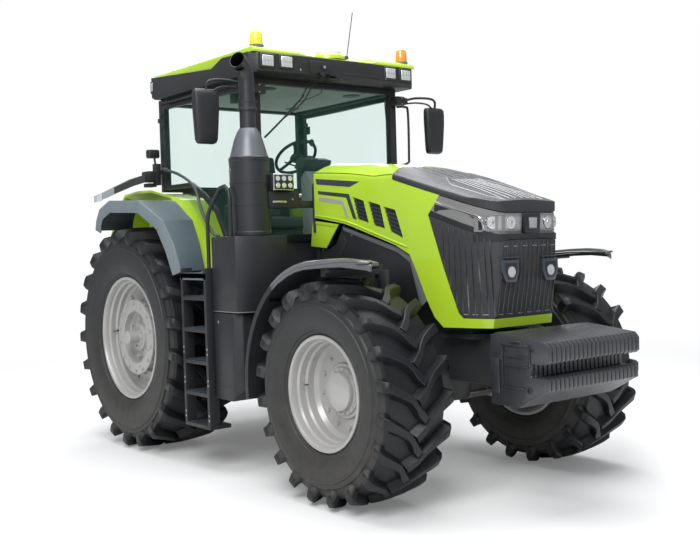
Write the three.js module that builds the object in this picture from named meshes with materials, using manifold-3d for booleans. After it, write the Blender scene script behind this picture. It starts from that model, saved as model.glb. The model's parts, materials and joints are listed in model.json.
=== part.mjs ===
// A four-wheel-drive farm tractor with a glazed cab, tilting hood, steered front axle, plate weights
// in front and a three-point lift behind. Millimetres, +X forward, +Y to its left, +Z up. The pieces
// are placed from the point on the ground below the rear axle, and the whole is then centred.
import * as THREE from "three";
import { mergeVertices } from "three/addons/utils/BufferGeometryUtils.js";
import Module from "manifold-3d";

// ---- Driving dimensions ----
const wheelBase = 2910;
const seatGap = 0.3; // between pieces that rest on each other
const runGap = 0.5; // between the two faces of a bearing or hinge
const swingGap = 6; // around doors, hood and other moving panels

const rearWheel = {
  radius: 1005, width: 700, track: 1950, rimRadius: 555, seatRadius: 530, rimHalf: 274,
  discOffset: 120, hubRadius: 345, hubFace: 220, stepRadius: 236, stepFace: 152,
  axleRadius: 60, axleEnd: 306, bearingInset: 335,
};
const frontWheel = {
  radius: 785, width: 590, track: 1990, rimRadius: 403, seatRadius: 382, rimHalf: 222,
  discOffset: 0, hubRadius: 190, hubFace: 45, stepRadius: 168, stepFace: 62,
  axleRadius: 137, axleEnd: 105, bearingInset: 115,
};
const rimWall = 16;
const wheelSegments = 32;

const kingpin = { inset: 355, eyeRadius: 75, eyeHalf: 150, earThick: 50, drumRadius: 150, plateGap: 82 };
kingpin.y = frontWheel.track / 2 - kingpin.inset;
const steerArm = { length: 210, half: 45, thick: 36 };
const axleBeam = { half: 110, halfHeight: 110, neckLength: 100 };
const frontFender = {
  gap: 100, thick: 14, innerInset: 235, outerReach: 290, nose: 560, noseRise: 22, noseDrop: 5,
  innerNose: -10, postThick: 32,
};

// The gearbox is measured from the rear axle, the front frame and engine from the front axle.
const gearbox = {
  half: 225, rear: -340, front: 1785, bottom: 700, top: 1290, trumpetRadius: 150, flareHalf: 330,
  flangeRise: 40,
};
const outrigger = { x: 1340, half: 60, bottom: 1130, top: 1230, reach: 640 };
const frame = { half: 205, nose: 850, height: 250, noseDrop: 110, noseRear: 180, saddle: 5 };
frame.front = wheelBase + frame.nose;
frame.bottom = frontWheel.radius + axleBeam.halfHeight + frame.saddle;
frame.top = frame.bottom + frame.height;
const engine = { rear: 1900, front: 150, half: 200, upperHalf: 300, upperFrom: 1420, top: 2080 };
const cooler = { rear: 220, front: 510, half: 290, top: 1960 };
const weights = {
  length: 496, halfWidth: 480, bottom: 715, top: 1197, lipTop: 925, slotTop: 1008, slotDepth: 150,
  plates: 22, groove: 6,
};

// The cab's floor height is measured from the rear axle, and everything in and on the cab from its floor.
const cab = {
  frontX: 1562, rearX: -48, pillar: 60, side: 815, doorThick: 38, aboveAxle: 595, floorThick: 40,
  waistHeight: 293, height: 1540, headerHeight: 50, wheelGap: 25, glass: 8, bulge: 70,
};
cab.floor = rearWheel.radius + cab.aboveAxle;
cab.waist = cab.floor + cab.waistHeight;
cab.top = cab.floor + cab.height;
cab.roofBottom = cab.top + cab.headerHeight;
cab.innerHalf = (rearWheel.track - rearWheel.width) / 2 - cab.wheelGap;
const roof = {
  rear: -175, front: 1640, overhang: 65, capInset: 18, noseRadius: 60, edgeHeight: 222, crownHeight: 292,
};
roof.edgeTop = cab.roofBottom + roof.edgeHeight;
roof.crownTop = cab.roofBottom + roof.crownHeight;
const onRoof = {
  beaconX: 1540, beaconY: 775, beaconHeight: 63, domeX: 1560, domeHeight: 28, aerialY: 100, aerialX: 1700,
  aerialHeight: 282,
};
onRoof.foot = roof.edgeTop - 40;
roof.half = cab.side + roof.overhang;
const fender = { thick: 24, wallThick: 16, outerReach: 5, extensionReach: 377, frontReach: 215, skirt: 110 };
fender.outer = rearWheel.track / 2 + fender.outerReach;
fender.extensionOuter = rearWheel.track / 2 + fender.extensionReach;
fender.frontOuter = rearWheel.track / 2 + fender.frontReach;

const hood = { rear: 1850, wall: 22, half: 470, hingeX: 1882, hingeZ: 2392, lugHalf: 130, lugThick: 18 };
// The nose gets narrower downwards: half widths at two places ahead of the front axle.
const noseTaper = { from: 340, to: 890, highHalf: [440, 340], lowHalf: [425, 225], high: 1830, low: 1100 };
const cowl = { thick: 45, half: 430, shoulder: 2300 };

const stack = {
  x: 1728, cabGap: 25, canister: 160, pipe: 64, collar: 74, baseHeight: 287, canisterHeight: 613,
  coneHeight: 225, collarFrom: 360, collarHeight: 85, bendFrom: 590,
};
stack.y = cab.side + stack.cabGap + stack.canister;
stack.base = cab.floor + stack.baseHeight;
stack.canisterTop = stack.base + stack.canisterHeight;
stack.coneTop = stack.canisterTop + stack.coneHeight;
stack.collarBottom = stack.canisterTop + stack.collarFrom;
stack.bendStart = stack.canisterTop + stack.bendFrom;

const tank = { wheelGap: 61, front: 1810, behindLadder: 960, bottom: 600, top: 1289 };
tank.rear = rearWheel.radius + tank.wheelGap;
const enclosure = { front: 1885, doorGap: 35, round: 55, chamferX: 60, chamferY: 140, wrap: 82 };
enclosure.inner = cab.side + enclosure.doorGap;
enclosure.outer = stack.y + stack.canister + enclosure.round;
enclosure.bottom = tank.top + 3;
const ladder = {
  wheelGap: 25, length: 410, proud: 47, depth: 252, rail: 34, railRise: 40, bottom: 345, tread: 30,
  steps: 5, rod: 16, rodGap: 20, nextGap: 26,
};
ladder.rear = rearWheel.radius + ladder.wheelGap;
ladder.front = ladder.rear + ladder.length;
ladder.outer = enclosure.outer + ladder.proud;
ladder.inner = ladder.outer - ladder.depth;
ladder.top = cab.floor + ladder.railRise;
enclosure.rear = ladder.front + ladder.nextGap;
tank.inner = outrigger.reach + 1;
const mirror = {
  x: 1592, out: 410, width: 225, depth: 80, height: 430, drop: 302, armDrop: 60, arm: 15,
};
mirror.y = cab.side + mirror.out;
mirror.middle = cab.top - mirror.drop;
mirror.armZ = cab.top - mirror.armDrop;
const hitch = {
  x: -360, shaftZ: 1440, linkZ: 620, arm: 330, linkEnd: -1190, armY: 215, shaft: 55, armThick: 52,
  eye: 46, rodThick: 30, linkThick: 44, rodRadius: 26,
};

// ---- Solids from three.js shapes ----
const wasm = await Module();
wasm.setup();

function solid(geometry) {
  const bare = geometry.index ? geometry.toNonIndexed() : geometry.clone();
  bare.deleteAttribute("normal");
  bare.deleteAttribute("uv");
  const merged = mergeVertices(bare, 1e-3);
  const corners = [];
  for (let i = 0; i < merged.index.count; i += 3) {
    const [a, b, c] = [0, 1, 2].map((k) => merged.index.getX(i + k));
    if (a !== b && b !== c && c !== a) corners.push(a, b, c);
  }
  return new wasm.Manifold(new wasm.Mesh({
    numProp: 3, vertProperties: merged.attributes.position.array, triVerts: new Uint32Array(corners),
  }));
}

const alongX = new THREE.Matrix4().makeBasis(
  new THREE.Vector3(0, 1, 0), new THREE.Vector3(0, 0, 1), new THREE.Vector3(1, 0, 0));
const alongY = new THREE.Matrix4().makeBasis(
  new THREE.Vector3(1, 0, 0), new THREE.Vector3(0, 0, 1), new THREE.Vector3(0, -1, 0));

function prism(outline, from, to, turn, shift) {
  const shape = new THREE.Shape(outline.map(([u, v]) => new THREE.Vector2(u, v)));
  const depth = Math.abs(to - from);
  const geometry = new THREE.ExtrudeGeometry(shape, { depth, bevelEnabled: false });
  if (turn) geometry.applyMatrix4(turn);
  return solid(geometry.translate(...shift));
}
// An outline of [x, z] corners, pushed along Y; of [y, z] along X; of [x, y] along Z.
const pushY = (outline, a, b) => prism(outline, a, b, alongY, [0, Math.max(a, b), 0]);
const pushX = (outline, a, b) => prism(outline, a, b, alongX, [Math.min(a, b), 0, 0]);
const pushZ = (outline, a, b) => prism(outline, a, b, null, [0, 0, Math.min(a, b)]);

function block([x0, x1], [y0, y1], [z0, z1]) {
  const geometry = new THREE.BoxGeometry(Math.abs(x1 - x0), Math.abs(y1 - y0), Math.abs(z1 - z0));
  return solid(geometry.translate((x0 + x1) / 2, (y0 + y1) / 2, (z0 + z1) / 2));
}

function rod(from, to, radius, sides = 12, endRadius = radius) {
  const a = new THREE.Vector3(...from);
  const b = new THREE.Vector3(...to);
  const along = b.clone().sub(a);
  const geometry = new THREE.CylinderGeometry(endRadius, radius, along.length(), sides);
  const turn = new THREE.Quaternion().setFromUnitVectors(
    new THREE.Vector3(0, 1, 0), along.clone().normalize());
  geometry.applyQuaternion(turn);
  return solid(geometry.translate(...a.add(b).multiplyScalar(0.5).toArray()));
}

// A round bar swept along a smooth curve through the points.
function bentRod(points, radius, steps, sides = 8) {
  const section = [];
  for (let i = 0; i < sides; i += 1) {
    const angle = (2 * Math.PI * i) / sides;
    section.push(new THREE.Vector2(radius * Math.cos(angle), radius * Math.sin(angle)));
  }
  const path = new THREE.CatmullRomCurve3(points.map((point) => new THREE.Vector3(...point)));
  return solid(new THREE.ExtrudeGeometry(new THREE.Shape(section), { steps, extrudePath: path }));
}

function turnedAboutY(profile, [x, y, z], segments) {
  const points = profile.map(([r, along]) => new THREE.Vector2(r, along));
  const geometry = new THREE.LatheGeometry(points, segments, Math.PI / segments);
  return solid(geometry.translate(x, y, z));
}

const union = (solids) => solids.reduce((whole, piece) => whole.add(piece));
const cut = (whole, tools) => tools.reduce((rest, tool) => rest.subtract(tool), whole);

// The same solid on the other side of the tractor.
function mirrored(piece) {
  const mesh = piece.getMesh();
  const geometry = new THREE.BufferGeometry();
  geometry.setAttribute("position", new THREE.BufferAttribute(new Float32Array(mesh.vertProperties), 3));
  geometry.setIndex(new THREE.BufferAttribute(new Uint32Array(mesh.triVerts), 1));
  geometry.scale(1, -1, 1);
  const index = geometry.index.array;
  for (let i = 0; i < index.length; i += 3) [index[i + 1], index[i + 2]] = [index[i + 2], index[i + 1]];
  return solid(geometry);
}

// An outline with every side moved outwards, or inwards where the distance is negative.
function grown(outline, distance) {
  const turnsLeft = outline.reduce((sum, [u, v], i) => {
    const [p, q] = outline[(i + 1) % outline.length];
    return sum + u * q - p * v;
  }, 0) > 0;
  const push = turnsLeft ? distance : -distance;
  return outline.map(([u, v], i) => {
    const [a, b] = outline[(i + outline.length - 1) % outline.length];
    const [c, d] = outline[(i + 1) % outline.length];
    const before = new THREE.Vector2(v - b, a - u).normalize();
    const after = new THREE.Vector2(d - v, u - c).normalize();
    const middle = before.clone().add(after).normalize();
    const reach = push / Math.max(0.3, middle.dot(before));
    return [u + middle.x * reach, v + middle.y * reach];
  });
}

// Corners given as [degrees up from straight ahead, distance outside the tyre] about the rear wheel.
function aroundRearWheel(corners) {
  return corners.map(([degrees, gap]) => {
    const angle = THREE.MathUtils.degToRad(degrees);
    const reach = rearWheel.radius + gap;
    return [reach * Math.cos(angle), rearWheel.radius + reach * Math.sin(angle)];
  });
}
// Corners measured from the front axle.
const fromFrontAxle = (corners) => corners.map(([x, z]) => [wheelBase + x, z]);

// ---- Finishes ----
const finishes = {
  limePaint: [0xa9cf2f, 0.35, 0.0],
  darkPlastic: [0x33373a, 0.6, 0.0],
  greyPlastic: [0x5b686f, 0.55, 0.0],
  chassisPaint: [0x2f3335, 0.5, 0.2],
  rimPaint: [0xb9b5ae, 0.4, 0.2],
  castIron: [0x43474a, 0.6, 0.3],
  tyreRubber: [0x1d1e1f, 0.85, 0.0],
  silverPaint: [0xb5b2ac, 0.35, 0.3],
  tintedGlass: [0x9fc9b8, 0.05, 0.0],
  seatFabric: [0x2b2d30, 0.9, 0.0],
};

const tractor = new THREE.Group();
const pieces = new THREE.Group();
tractor.add(pieces);

function add(name, finish, piece) {
  const mesh = piece.getMesh();
  const geometry = new THREE.BufferGeometry();
  geometry.setAttribute("position", new THREE.BufferAttribute(new Float32Array(mesh.vertProperties), 3));
  geometry.setIndex(new THREE.BufferAttribute(new Uint32Array(mesh.triVerts), 1));
  geometry.computeVertexNormals();
  const [color, roughness, metalness] = finishes[finish];
  const node = new THREE.Mesh(geometry, new THREE.MeshStandardMaterial({ color, roughness, metalness }));
  node.name = name;
  pieces.add(node);
}

// The right-hand solid and its mirror image on the left.
function addPair(name, finish, right) {
  add(`${name}_right`, finish, right);
  add(`${name}_left`, finish, mirrored(right));
}

// ---- Wheels ----
// A flat of the turned outline faces down, so the corners lie just outside the rolling radius.
function tyre(wheel, x) {
  const outer = wheel.radius / Math.cos(Math.PI / wheelSegments);
  const half = wheel.width / 2;
  const seat = wheel.seatRadius / Math.cos(Math.PI / wheelSegments) + seatGap;
  const bead = wheel.rimHalf - seatGap;
  const middle = (outer + wheel.rimRadius) / 2;
  const side = [
    [seat, bead], [wheel.rimRadius + 8, bead], [wheel.rimRadius + 55, half - 28], [middle, half],
    [outer - 75, half - 14], [outer - 15, half * 0.84], [outer, half * 0.66],
  ];
  const otherSide = side.map(([r, y]) => [r, -y]);
  const profile = [...side, ...otherSide.reverse(), side[0]].reverse();
  return turnedAboutY(profile, [x, -wheel.track / 2, wheel.radius], wheelSegments);
}

// Rim, disc, hub and the turning end of the axle, with its outer face away from the tractor. The hub steps
// in to a recess on the rear wheel, and out to the planet carrier on the front one.
function rim(wheel, x) {
  const inboard = wheel.bearingInset - runGap;
  const flange = wheel.rimHalf + rimWall;
  const wall = wheel.seatRadius - rimWall;
  const disc = wheel.discOffset;
  const outboard = [
    [0, wheel.axleEnd], [wheel.axleRadius, wheel.axleEnd], [wheel.axleRadius, wheel.stepFace],
    [wheel.stepRadius, wheel.stepFace], [wheel.stepRadius, wheel.hubFace],
    [wheel.hubRadius, wheel.hubFace], [wheel.hubRadius, disc + 30], [wall * 0.75, disc + 30],
    [wall, disc], [wall, flange], [wheel.rimRadius, flange], [wheel.rimRadius, wheel.rimHalf],
    [wheel.seatRadius, wheel.rimHalf],
  ];
  const back = [
    [wheel.seatRadius, -wheel.rimHalf], [wheel.rimRadius, -wheel.rimHalf], [wheel.rimRadius, -flange],
    [wall, -flange], [wall, disc - rimWall - 14], [wall * 0.75, disc + 8], [wheel.hubRadius, disc + 8],
    [wheel.axleRadius + 70, disc - 40], [wheel.axleRadius, disc - 60], [wheel.axleRadius, -inboard],
    [0, -inboard],
  ];
  const profile = [...outboard, ...back].map(([r, y]) => [r, -y]);
  return turnedAboutY(profile, [x, -wheel.track / 2, wheel.radius], wheelSegments);
}

addPair("rear_rim", "rimPaint", rim(rearWheel, 0));
addPair("rear_tyre", "tyreRubber", tyre(rearWheel, 0));
addPair("front_rim", "rimPaint", rim(frontWheel, wheelBase));
addPair("front_tyre", "tyreRubber", tyre(frontWheel, wheelBase));

// ---- Front axle, knuckles and steering rod ----
const axleZ = frontWheel.radius;
const beamTop = axleZ + axleBeam.halfHeight;

function frontAxleBeam() {
  const { half, halfHeight, neckLength } = axleBeam;
  const boxEnd = kingpin.y - neckLength;
  const body = block([wheelBase - half, wheelBase + half], [-boxEnd, boxEnd], [axleZ - halfHeight, beamTop]);
  const saddle = block([wheelBase - half, wheelBase + half], [-frame.half, frame.half],
    [beamTop - 20, frame.bottom - seatGap]);
  const drop = rod([wheelBase, 0, axleZ], [wheelBase, 0, axleZ - halfHeight - 60], 170, 20, 120);
  const ends = [-1, 1].flatMap((side) => {
    const y = side * kingpin.y;
    const neck = block([wheelBase - 62, wheelBase + 62], [side * (boxEnd - 20), y],
      [axleZ - halfHeight, beamTop]);
    const eye = rod([wheelBase, y, axleZ - kingpin.eyeHalf], [wheelBase, y, axleZ + kingpin.eyeHalf],
      kingpin.eyeRadius, 20);
    return [neck, eye];
  });
  return union([body, saddle, drop, ...ends]);
}
add("front_axle_beam", "chassisPaint", frontAxleBeam());

const earInner = kingpin.eyeHalf + runGap;
const earOuter = earInner + kingpin.earThick;
const plateY = kingpin.y + kingpin.plateGap;
const frontBearingY = frontWheel.track / 2 - frontWheel.bearingInset;
const fenderRadius = frontWheel.radius + frontFender.gap;
const fenderTop = axleZ + fenderRadius;
const fenderInner = frontWheel.track / 2 - frontFender.innerInset;
const fenderOuter = frontWheel.track / 2 + frontFender.outerReach;

function knuckle() {
  const x = wheelBase;
  const y = -kingpin.y;
  const plate = block([x - 125, x + 125], [-plateY, -plateY - 45], [axleZ - earOuter, axleZ + earOuter]);
  const drum = rod([x, -plateY - 20, axleZ], [x, -frontBearingY, axleZ], kingpin.drumRadius, 24);
  const ears = [-1, 1].flatMap((up) => {
    const [low, high] = [axleZ + up * earInner, axleZ + up * earOuter];
    return [
      rod([x, y, low], [x, y, high], kingpin.eyeRadius, 20),
      block([x - kingpin.eyeRadius, x + kingpin.eyeRadius], [y, -plateY - 20], [low, high]),
    ];
  });
  const armTop = axleZ - earInner - 8;
  const armBottom = armTop - steerArm.thick;
  const arm = union([
    block([x - steerArm.length, x], [y - steerArm.half, y + steerArm.half], [armBottom, armTop]),
    rod([x - steerArm.length, y, armBottom], [x - steerArm.length, y, armTop], steerArm.half, 16),
  ]);
  const postY = [y - 10, y - 10 - frontFender.postThick];
  const post = block([x - 60, x + 60], postY, [axleZ + earOuter - 4, fenderTop - 60]);
  const carrier = block([x - 60, x - 8], [postY[0], -fenderOuter + 120],
    [fenderTop - 90, fenderTop - frontFender.thick - 6]);
  const pad = block([x + 2, x + 40], [-fenderInner - 60, -fenderOuter + 120],
    [fenderTop - 60, fenderTop - frontFender.thick - seatGap]);
  const padArm = block([x - 20, x + 10], [-fenderInner - 60, -fenderOuter + 120],
    [fenderTop - 60, fenderTop - frontFender.thick - 6]);
  return union([plate, drum, ...ears, arm, post, carrier, pad, padArm]);
}
addPair("knuckle", "chassisPaint", knuckle());

// A strip of sheet under the line of its upper side, from -inner to -outer.
function bandUnder(line, thick, inner, outer) {
  const under = line.map(([x, z], i) => {
    const [px, pz] = line[Math.max(0, i - 1)];
    const [nx, nz] = line[Math.min(line.length - 1, i + 1)];
    const normal = new THREE.Vector2(nz - pz, px - nx).normalize();
    return [x + normal.x * thick, z + normal.y * thick];
  });
  return pushY([...line, ...under.reverse()], -outer, -inner);
}

function frontFenderShell() {
  const { thick, nose, noseRise, noseDrop, innerNose } = frontFender;
  const line = [];
  const arcSteps = 9;
  for (let i = 0; i <= arcSteps; i += 1) {
    const angle = THREE.MathUtils.degToRad(188 - (98 * i) / arcSteps);
    line.push([wheelBase + fenderRadius * Math.cos(angle), axleZ + fenderRadius * Math.sin(angle)]);
  }
  const front = wheelBase + nose;
  line.push([wheelBase + 320, fenderTop + noseRise], [front, fenderTop + noseRise - noseDrop]);
  const back = wheelBase - fenderRadius - 50;
  // The inner front corner is cut away so that it passes the hood at full lock.
  const plan = [
    [back, -fenderInner], [wheelBase + innerNose, -fenderInner], [front + 20, -fenderOuter + 60],
    [front - 60, -fenderOuter], [back, -fenderOuter],
  ];
  return bandUnder(line, thick, fenderInner, fenderOuter).intersect(pushZ(plan, 0, 2 * fenderTop));
}
addPair("front_fender", "darkPlastic", frontFenderShell());

function steeringRod() {
  const x = wheelBase - steerArm.length;
  const top = axleZ - earInner - 8 - steerArm.thick - runGap;
  const radius = 21;
  const middle = top - 28;
  const eyes = [-1, 1].map((side) => {
    return rod([x, side * kingpin.y, middle - 28], [x, side * kingpin.y, top], 34, 16);
  });
  return union([rod([x, -kingpin.y, middle], [x, kingpin.y, middle], radius, 12), ...eyes]);
}
add("steering_rod", "castIron", steeringRod());

// ---- Chassis: front frame, engine, cooling pack, gearbox and rear axle ----
const coolerRear = wheelBase + cooler.rear;
const coolerFront = wheelBase + cooler.front;
function frontFrame() {
  const { half, front, bottom, top, noseDrop, noseRear } = frame;
  const noseBottom = bottom - noseDrop;
  const rails = block([gearbox.front + seatGap, front], [-half, half], [bottom, top]);
  const nose = block([wheelBase + noseRear, front], [-half, half], [noseBottom, top]);
  const carrier = block([front - 60, front], [-half - 120, half + 120], [noseBottom, top]);
  const coolerBase = block([coolerRear - 20, coolerFront + 20], [-cooler.half, cooler.half], [top - 40, top]);
  const pan = block([2050, wheelBase - 180], [-half + 25, half - 25], [bottom - 130, bottom + 5]);
  return union([rails, nose, carrier, coolerBase, pan]);
}
add("front_frame", "chassisPaint", frontFrame());

function engineBlock() {
  const base = frame.top + seatGap;
  const front = wheelBase + engine.front;
  const lower = block([engine.rear, front], [-engine.half, engine.half], [base, engine.top]);
  const upper = block([engine.rear + 60, front], [-engine.upperHalf, engine.upperHalf],
    [engine.upperFrom, engine.top]);
  return union([lower, upper]);
}
add("engine_block", "castIron", engineBlock());
add("cooling_pack", "castIron", block([coolerRear, coolerFront], [-cooler.half, cooler.half],
  [frame.top + seatGap, cooler.top]));

function gearboxAndRearAxle() {
  const { half, rear, front, bottom, top, trumpetRadius, flareHalf, flangeRise } = gearbox;
  const trumpetEnd = rearWheel.track / 2 - rearWheel.bearingInset;
  const body = block([rear, front], [-half, half], [bottom, top]);
  const flare = block([-260, 300], [-flareHalf, flareHalf], [bottom + 60, top]);
  const trumpets = rod([0, -trumpetEnd, rearWheel.radius], [0, trumpetEnd, rearWheel.radius],
    trumpetRadius, 24);
  const bar = block([outrigger.x - outrigger.half, outrigger.x + outrigger.half],
    [-outrigger.reach, outrigger.reach], [outrigger.bottom, outrigger.top]);
  const flange = block([front - 60, front], [-half - 60, half + 60], [bottom + 60, top + flangeRise]);
  return union([body, flare, trumpets, bar, flange]);
}
add("gearbox_and_rear_axle", "chassisPaint", gearboxAndRearAxle());

// ---- Front weights: a pack of plates on the nose, with a slot and a lower lip ----
function frontWeights() {
  const { length, halfWidth, bottom, top, lipTop, slotTop, slotDepth, plates, groove } = weights;
  const rear = frame.front + seatGap;
  const front = rear + length;
  const outline = [
    [rear, bottom + 8], [front - 250, bottom], [front - 45, lipTop - 96], [front - 12, lipTop - 80],
    [front - 12, lipTop - 6], [front - slotDepth, lipTop], [front - slotDepth, slotTop],
    [front, slotTop + 6], [front, top - 70], [front - 20, top - 50], [rear + 60, top], [rear, top - 20],
  ];
  const pack = pushY(outline, -halfWidth, halfWidth);
  const pitch = (2 * halfWidth) / plates;
  const grooves = [];
  for (let i = 1; i < plates; i += 1) {
    const y = -halfWidth + pitch * i;
    grooves.push(block([front - 30, front + 10], [y - groove / 2, y + groove / 2], [slotTop, top]));
  }
  return cut(pack, grooves);
}
add("front_weights", "castIron", frontWeights());

// ---- Tilting hood ----
// Side outline in [x, z]: over the top, down the front, back along the lower edge.
const hoodTop = [
  [hood.rear, 2462],
  ...fromFrontAxle([[-646, 2428], [-252, 2376], [333, 2205], [650, 2112], [790, 2062]]),
];
const hoodFront = fromFrontAxle([[818, 1990], [802, 1800], [790, 1575], [722, 1191]]);
const hoodBottom = [
  ...fromFrontAxle([[331, 1197], [220, 1388], [79, 1706], [-88, 1783], [-659, 1955]]),
  [hood.rear, 2019],
];
const hoodSide = [...hoodTop, ...hoodFront, ...hoodBottom];
const noseFrom = wheelBase + 490; // ahead of this the wall also comes in from the front
const hoodPlan = [
  [hood.rear, hood.half],
  ...fromFrontAxle([[79, 458], [340, 432], [570, 392], [730, 338], [812, 240], [842, 0]]),
];
const shoulder = 72;

// The hood's outside as a body, or what is inside its wall with the underside left open.
function hoodBody(inset) {
  const wall = -inset;
  const open = inset > 0 ? 260 : 0;
  const side = [
    ...grown(hoodSide, wall).slice(0, hoodTop.length + hoodFront.length),
    ...hoodBottom.map(([x, z]) => [x, z - open]),
  ];
  side[0] = [hood.rear - (inset > 0 ? 50 : 0), side[0][1]];
  side[side.length - 1][0] = side[0][0];
  const frontFoot = side[hoodTop.length + hoodFront.length - 1];
  const [[highX, highZ], [lowX, lowZ]] = hoodFront.slice(-2);
  frontFoot[0] -= (open * (highX - lowX)) / (highZ - lowZ);
  frontFoot[1] -= open;
  const halfPlan = hoodPlan.map(([x, y]) => [x - (x > noseFrom ? inset : 0), y > 0 ? y - inset : 0]);
  halfPlan[0][0] = side[0][0];
  const plan = [...halfPlan, ...halfPlan.slice(0, -1).reverse().map(([x, y]) => [x, -y])];
  const slab = pushY(side, -hood.half, hood.half).intersect(pushZ(plan, 800, 2600));
  return cut(slab, [-1, 1].flatMap((way) => [shoulderCut(way, inset), noseCut(way, inset)]));
}

// A cutter along one side of the nose.
function noseCut(way, inset) {
  const { from, to, highHalf, lowHalf, high, low } = noseTaper;
  const reach = 700;
  return hexahedron([from, to].flatMap((x, i) => [
    [wheelBase + x, way * (highHalf[i] - inset), high], [wheelBase + x, way * reach, high],
    [wheelBase + x, way * reach, low], [wheelBase + x, way * (lowHalf[i] - inset), low],
  ]));
}

// The top edges are sloped off: a cutter along one shoulder, made stretch by stretch.
function shoulderCut(way, inset) {
  const slope = shoulder / 190;
  const reach = 640;
  const crownHalf = (x) => {
    const forward = THREE.MathUtils.clamp((x - wheelBase + 10) / 800, 0, 1);
    return 250 - 90 * forward - inset * 0.3;
  };
  const stretches = hoodTop.slice(1).map((end, i) => {
    const corners = [[hoodTop[i], -2], [end, 2]].flatMap(([[x, z], shift]) => {
      const top = z - inset;
      const inner = crownHalf(x);
      return [
        [x + shift, way * inner, top], [x + shift, way * inner, top + 400],
        [x + shift, way * reach, top + 400], [x + shift, way * reach, top - slope * (reach - inner)],
      ];
    });
    return hexahedron(corners);
  });
  return union(stretches);
}

// Eight corners, four at the start and four at the end of a stretch.
function hexahedron(corners) {
  const quads = [[0, 1, 2, 3], [7, 6, 5, 4], [0, 4, 5, 1], [1, 5, 6, 2], [2, 6, 7, 3], [3, 7, 4, 0]];
  const positions = quads.flatMap(([a, b, c, d]) => [a, b, c, a, c, d].flatMap((k) => corners[k]));
  const geometry = new THREE.BufferGeometry();
  geometry.setAttribute("position", new THREE.BufferAttribute(new Float32Array(positions), 3));
  const made = solid(geometry);
  if (made.volume() > 0) return made;
  const flipped = quads.flatMap(([a, b, c, d]) => [a, c, b, a, d, c].flatMap((k) => corners[k]));
  geometry.setAttribute("position", new THREE.BufferAttribute(new Float32Array(flipped), 3));
  return solid(geometry);
}

const hoodOutside = hoodBody(0);
const hoodShellWhole = cut(hoodOutside, [hoodBody(hood.wall)]);

const lampRegion = fromFrontAxle([
  [240, 2075], [352, 2138], [890, 2010], [890, 1790], [790, 1800], [330, 1985],
]);
const grilleRegion = fromFrontAxle([
  [330, 1984], [790, 1799], [890, 1789], [890, 1262], [522, 1266], [474, 1405], [258, 1990],
]);
const coverPlan = fromFrontAxle([
  [-250, 130], [352, 600], [940, 600], [940, -600], [352, -600], [-250, -130], [-350, 0],
]);
const coverSide = fromFrontAxle([
  [-410, 2700], [990, 2700], [990, 2010], [890, 2010], [352, 2138], [220, 2110], [-410, 2290],
]);

const coverZone = (gap) => pushZ(grown(coverPlan, gap), 1500, 2700)
  .intersect(pushY(grown(coverSide, gap), -700, 700));
const lampZone = (gap) => pushY(grown(lampRegion, gap), -700, 700);
const grilleZone = (gap) => pushY(grown(grilleRegion, gap), -700, 700);

function hoodShell() {
  const skin = cut(hoodShellWhole, [coverZone(seatGap), lampZone(seatGap), grilleZone(seatGap)]);
  const lugs = [-1, 1].map((side) => {
    const y = side * (hood.lugHalf - runGap);
    return block([hood.hingeX - 22, hood.hingeX + 22], [y, y - side * hood.lugThick],
      [hood.hingeZ - 24, hood.hingeZ + 55]);
  });
  return union([skin, ...lugs]);
}
const ventCorners = [
  [[-567, 2160], [-439, 2125], [-382, 1956], [-513, 1989]],
  [[-386, 2118], [-247, 2083], [-197, 1907], [-323, 1937]],
  [[-207, 2070], [-78, 2039], [2, 1832], [-135, 1883]],
];
const vents = ventCorners.map((outline) => pushY(fromFrontAxle(outline), -700, 700));
add("hood_shell", "limePaint", cut(hoodShell(), vents));
add("hood_top_cover", "darkPlastic", hoodShellWhole.intersect(coverZone(0)));
add("grille", "darkPlastic", cut(hoodShellWhole.intersect(grilleZone(0)), [lampZone(seatGap)]));
add("headlight_panel", "silverPaint", cut(hoodShellWhole.intersect(lampZone(0)), [coverZone(seatGap)]));

// The fixed cowl behind the hood carries the hood's hinge and closes the gap to the cab.
function cowlPanel() {
  const back = cab.frontX + 20 + cab.bulge + cab.glass + swingGap;
  const front = hood.rear - swingGap;
  const wall = block([front - cowl.thick, front], [-cowl.half, cowl.half],
    [gearbox.top + seatGap, cowl.shoulder]);
  const upper = block([front - cowl.thick, front], [-cowl.half + 60, cowl.half - 60],
    [cowl.shoulder - 10, hood.hingeZ - 26]);
  const tunnel = block([back, front], [-cowl.half + 90, cowl.half - 90], [1700, cowl.shoulder - 60]);
  const onFlange = gearbox.top + gearbox.flangeRise + seatGap;
  const foot = block([gearbox.front - 50, front], [-gearbox.half, gearbox.half], [onFlange, onFlange + 160]);
  const lugs = [-1, 1].map((side) => {
    const y = side * hood.lugHalf;
    const [x, z] = [hood.hingeX, hood.hingeZ];
    const outline = [
      [front - 12, z - 44], [x + 20, z - 20], [x + 20, z + 18], [x - 15, z + 18], [x - 20, z - 9],
      [front - 12, z - 27],
    ];
    return pushY(outline, y, y + side * hood.lugThick);
  });
  const underside = block([front - cowl.thick, front], [-cowl.half, cowl.half], [gearbox.bottom, onFlange]);
  return cut(union([wall, upper, tunnel, foot, ...lugs]), [underside]);
}
add("cowl", "darkPlastic", cowlPanel());

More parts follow.
